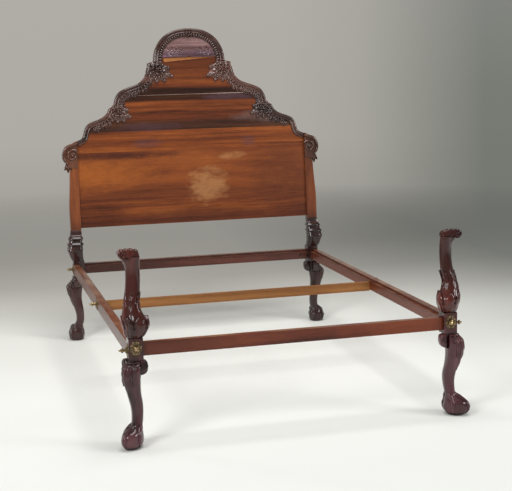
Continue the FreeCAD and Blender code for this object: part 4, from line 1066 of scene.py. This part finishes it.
# The photograph's camera, as fitted to the corners of the posts and rails. Its angles are in degrees.
CAMERA_AT = Vector((-1.4454, -5.7589, 1.6232))
CAMERA_YAW, CAMERA_PITCH, CAMERA_ROLL = 14.9, 9.164, -1.184
camera_data = bpy.data.cameras.new("photo_camera")
camera_data.sensor_width = 36.0
camera_data.lens = 82.14
camera_data.shift_x = 0.0048
camera_data.shift_y = -0.0027
camera = bpy.data.objects.new("photo_camera", camera_data)
scene.collection.objects.link(camera)
placing = Matrix.Translation(CAMERA_AT)
for degrees, axis in ((-CAMERA_YAW, "Z"), (90 - CAMERA_PITCH, "X"), (CAMERA_ROLL, "Z")):
    placing = placing @ Matrix.Rotation(radians(degrees), 4, axis)
camera.matrix_world = placing
scene.camera = camera

# Stage: a pale floor that fades out into the background. It is painted greyer towards the back and to the
# right:
# painted shade, where less lamp light falls.
FLOOR_HALF, FADE_FROM, FADE_TO, PAPER_ROUGHNESS = 9.0, 4.6, 8.8, 0.9
SHADE_FROM, SHADE_TO, DARKER_FROM, DARKER_TO = -2.0, 6.0, 1.0, 2.9
FLOOR_CORNERS = [(-1, -1), (1, -1), (1, 1), (-1, 1)]
stage_mesh = bpy.data.meshes.new("stage")
stage_mesh.from_pydata([(x * FLOOR_HALF, y * FLOOR_HALF, 0) for x, y in FLOOR_CORNERS], [], [(0, 1, 2, 3)])
stage = bpy.data.objects.new("stage", stage_mesh)
scene.collection.objects.link(stage)
material, tree, shader = new_material("paper")
share = share_between(tree, coordinates(tree)[1], SHADE_FROM, SHADE_TO)
left_paper = ramp(tree, share, [
    (0.06, tone(230, 231, 227)), (0.22, tone(242, 243, 238)), (0.4, tone(242, 242, 236)),
    (0.48, tone(222, 220, 213)), (0.58, tone(200, 197, 190)), (0.72, tone(192, 189, 182)),
    (1.0, tone(214, 211, 204)),
])
right_paper = ramp(tree, share, [
    (0.06, tone(234, 235, 232)), (0.18, tone(242, 243, 238)), (0.28, tone(198, 198, 193)),
    (0.38, tone(190, 190, 185)), (0.48, tone(160, 160, 155)), (0.58, tone(146, 148, 142)),
    (1.0, tone(150, 152, 146)),
])
to_right = share_between(tree, coordinates(tree)[0], DARKER_FROM, DARKER_TO)
place = add_node(tree, "TexCoord").outputs["Object"]
away = add_node(tree, "VectorMath", {0: place}, operation="LENGTH")
fade = share_between(tree, away.outputs["Value"], FADE_FROM, FADE_TO)
set_inputs(tree, shader, {
    "Base Color": mixed(tree, to_right, left_paper, right_paper),
    "Alpha": ramp(tree, fade, [(0.0, WHITE), (1.0, BLACK)]),
    "Roughness": PAPER_ROUGHNESS,
})
stage_mesh.materials.append(material)

# The room: an even light, and behind the object a paper backdrop. Its greys follow the slope of the look and
# how far it goes to the right: painted shade, darker to the right away from the lamps, and a little darker
# lower down.
ROOM_LIGHT, ROOM_TONE = 0.36, tone(225, 225, 222)
SLOPE_FROM, SLOPE_TO, RIGHT_FROM, RIGHT_TO = -0.35, 0.05, 0.28, 0.44
world = bpy.data.worlds.new("room")
world.use_nodes = True
tree = world.node_tree
tree.nodes.clear()
look = add_node(tree, "TexCoord").outputs["Generated"]
look = add_node(tree, "SeparateXYZ", {0: look}).outputs
slope = share_between(tree, look[2], SLOPE_FROM, SLOPE_TO)
left_back = ramp(tree, slope, [
    (0.5, tone(158, 155, 149)), (0.7, tone(174, 171, 164)), (1.0, tone(176, 173, 166)),
])
right_back = ramp(tree, slope, [
    (0.6, tone(117, 119, 113)), (0.8, tone(121, 124, 117)), (1.0, tone(131, 132, 127)),
])
to_right = share_between(tree, look[0], RIGHT_FROM, RIGHT_TO)
to_right = ramp(tree, to_right, [(0.0, BLACK), (0.4, (0.2, 0.2, 0.2, 1.0)), (1.0, WHITE)])
backdrop = add_node(tree, "Background", {"Color": mixed(tree, to_right, left_back, right_back)})
light = add_node(tree, "Background", {"Color": ROOM_TONE, "Strength": ROOM_LIGHT})
path = add_node(tree, "LightPath").outputs
seen_rays = [path[f"Is {kind} Ray"] for kind in ("Camera", "Glossy", "Transmission")]
shown = math_node(tree, "MAXIMUM", *seen_rays)
both = add_node(tree, "MixShader", {0: shown, 1: light.outputs[0], 2: backdrop.outputs[0]})
add_node(tree, "OutputWorld", {"Surface": both.outputs[0]})
scene.world = world


def softbox(name, at, target, wide, high, watts):
    """A rectangular lamp turned to a point."""
    lamp = bpy.data.lights.new(name, "AREA")
    lamp.shape, lamp.size, lamp.size_y, lamp.energy = "RECTANGLE", wide, high, watts
    holder = bpy.data.objects.new(name, lamp)
    scene.collection.objects.link(holder)
    holder.location = at
    holder.rotation_euler = (Vector(target) - Vector(at)).to_track_quat("-Z", "Y").to_euler()


softbox("key", at=(-3.4, -3.6, 3.4), target=(0.0, 0.0, 0.8), wide=1.6, high=1.6, watts=114.0)
softbox("side", at=(-4.0, 2.2, 1.7), target=(-0.4, 0.9, 1.2), wide=0.25, high=2.6, watts=24.0)
softbox("top", at=(0.2, -0.8, 5.0), target=(0.1, 0.0, 0.0), wide=2.6, high=2.6, watts=140.0)
softbox("fill", at=(4.4, -3.6, 2.6), target=(0.2, -0.4, 0.7), wide=1.6, high=1.6, watts=98.0)
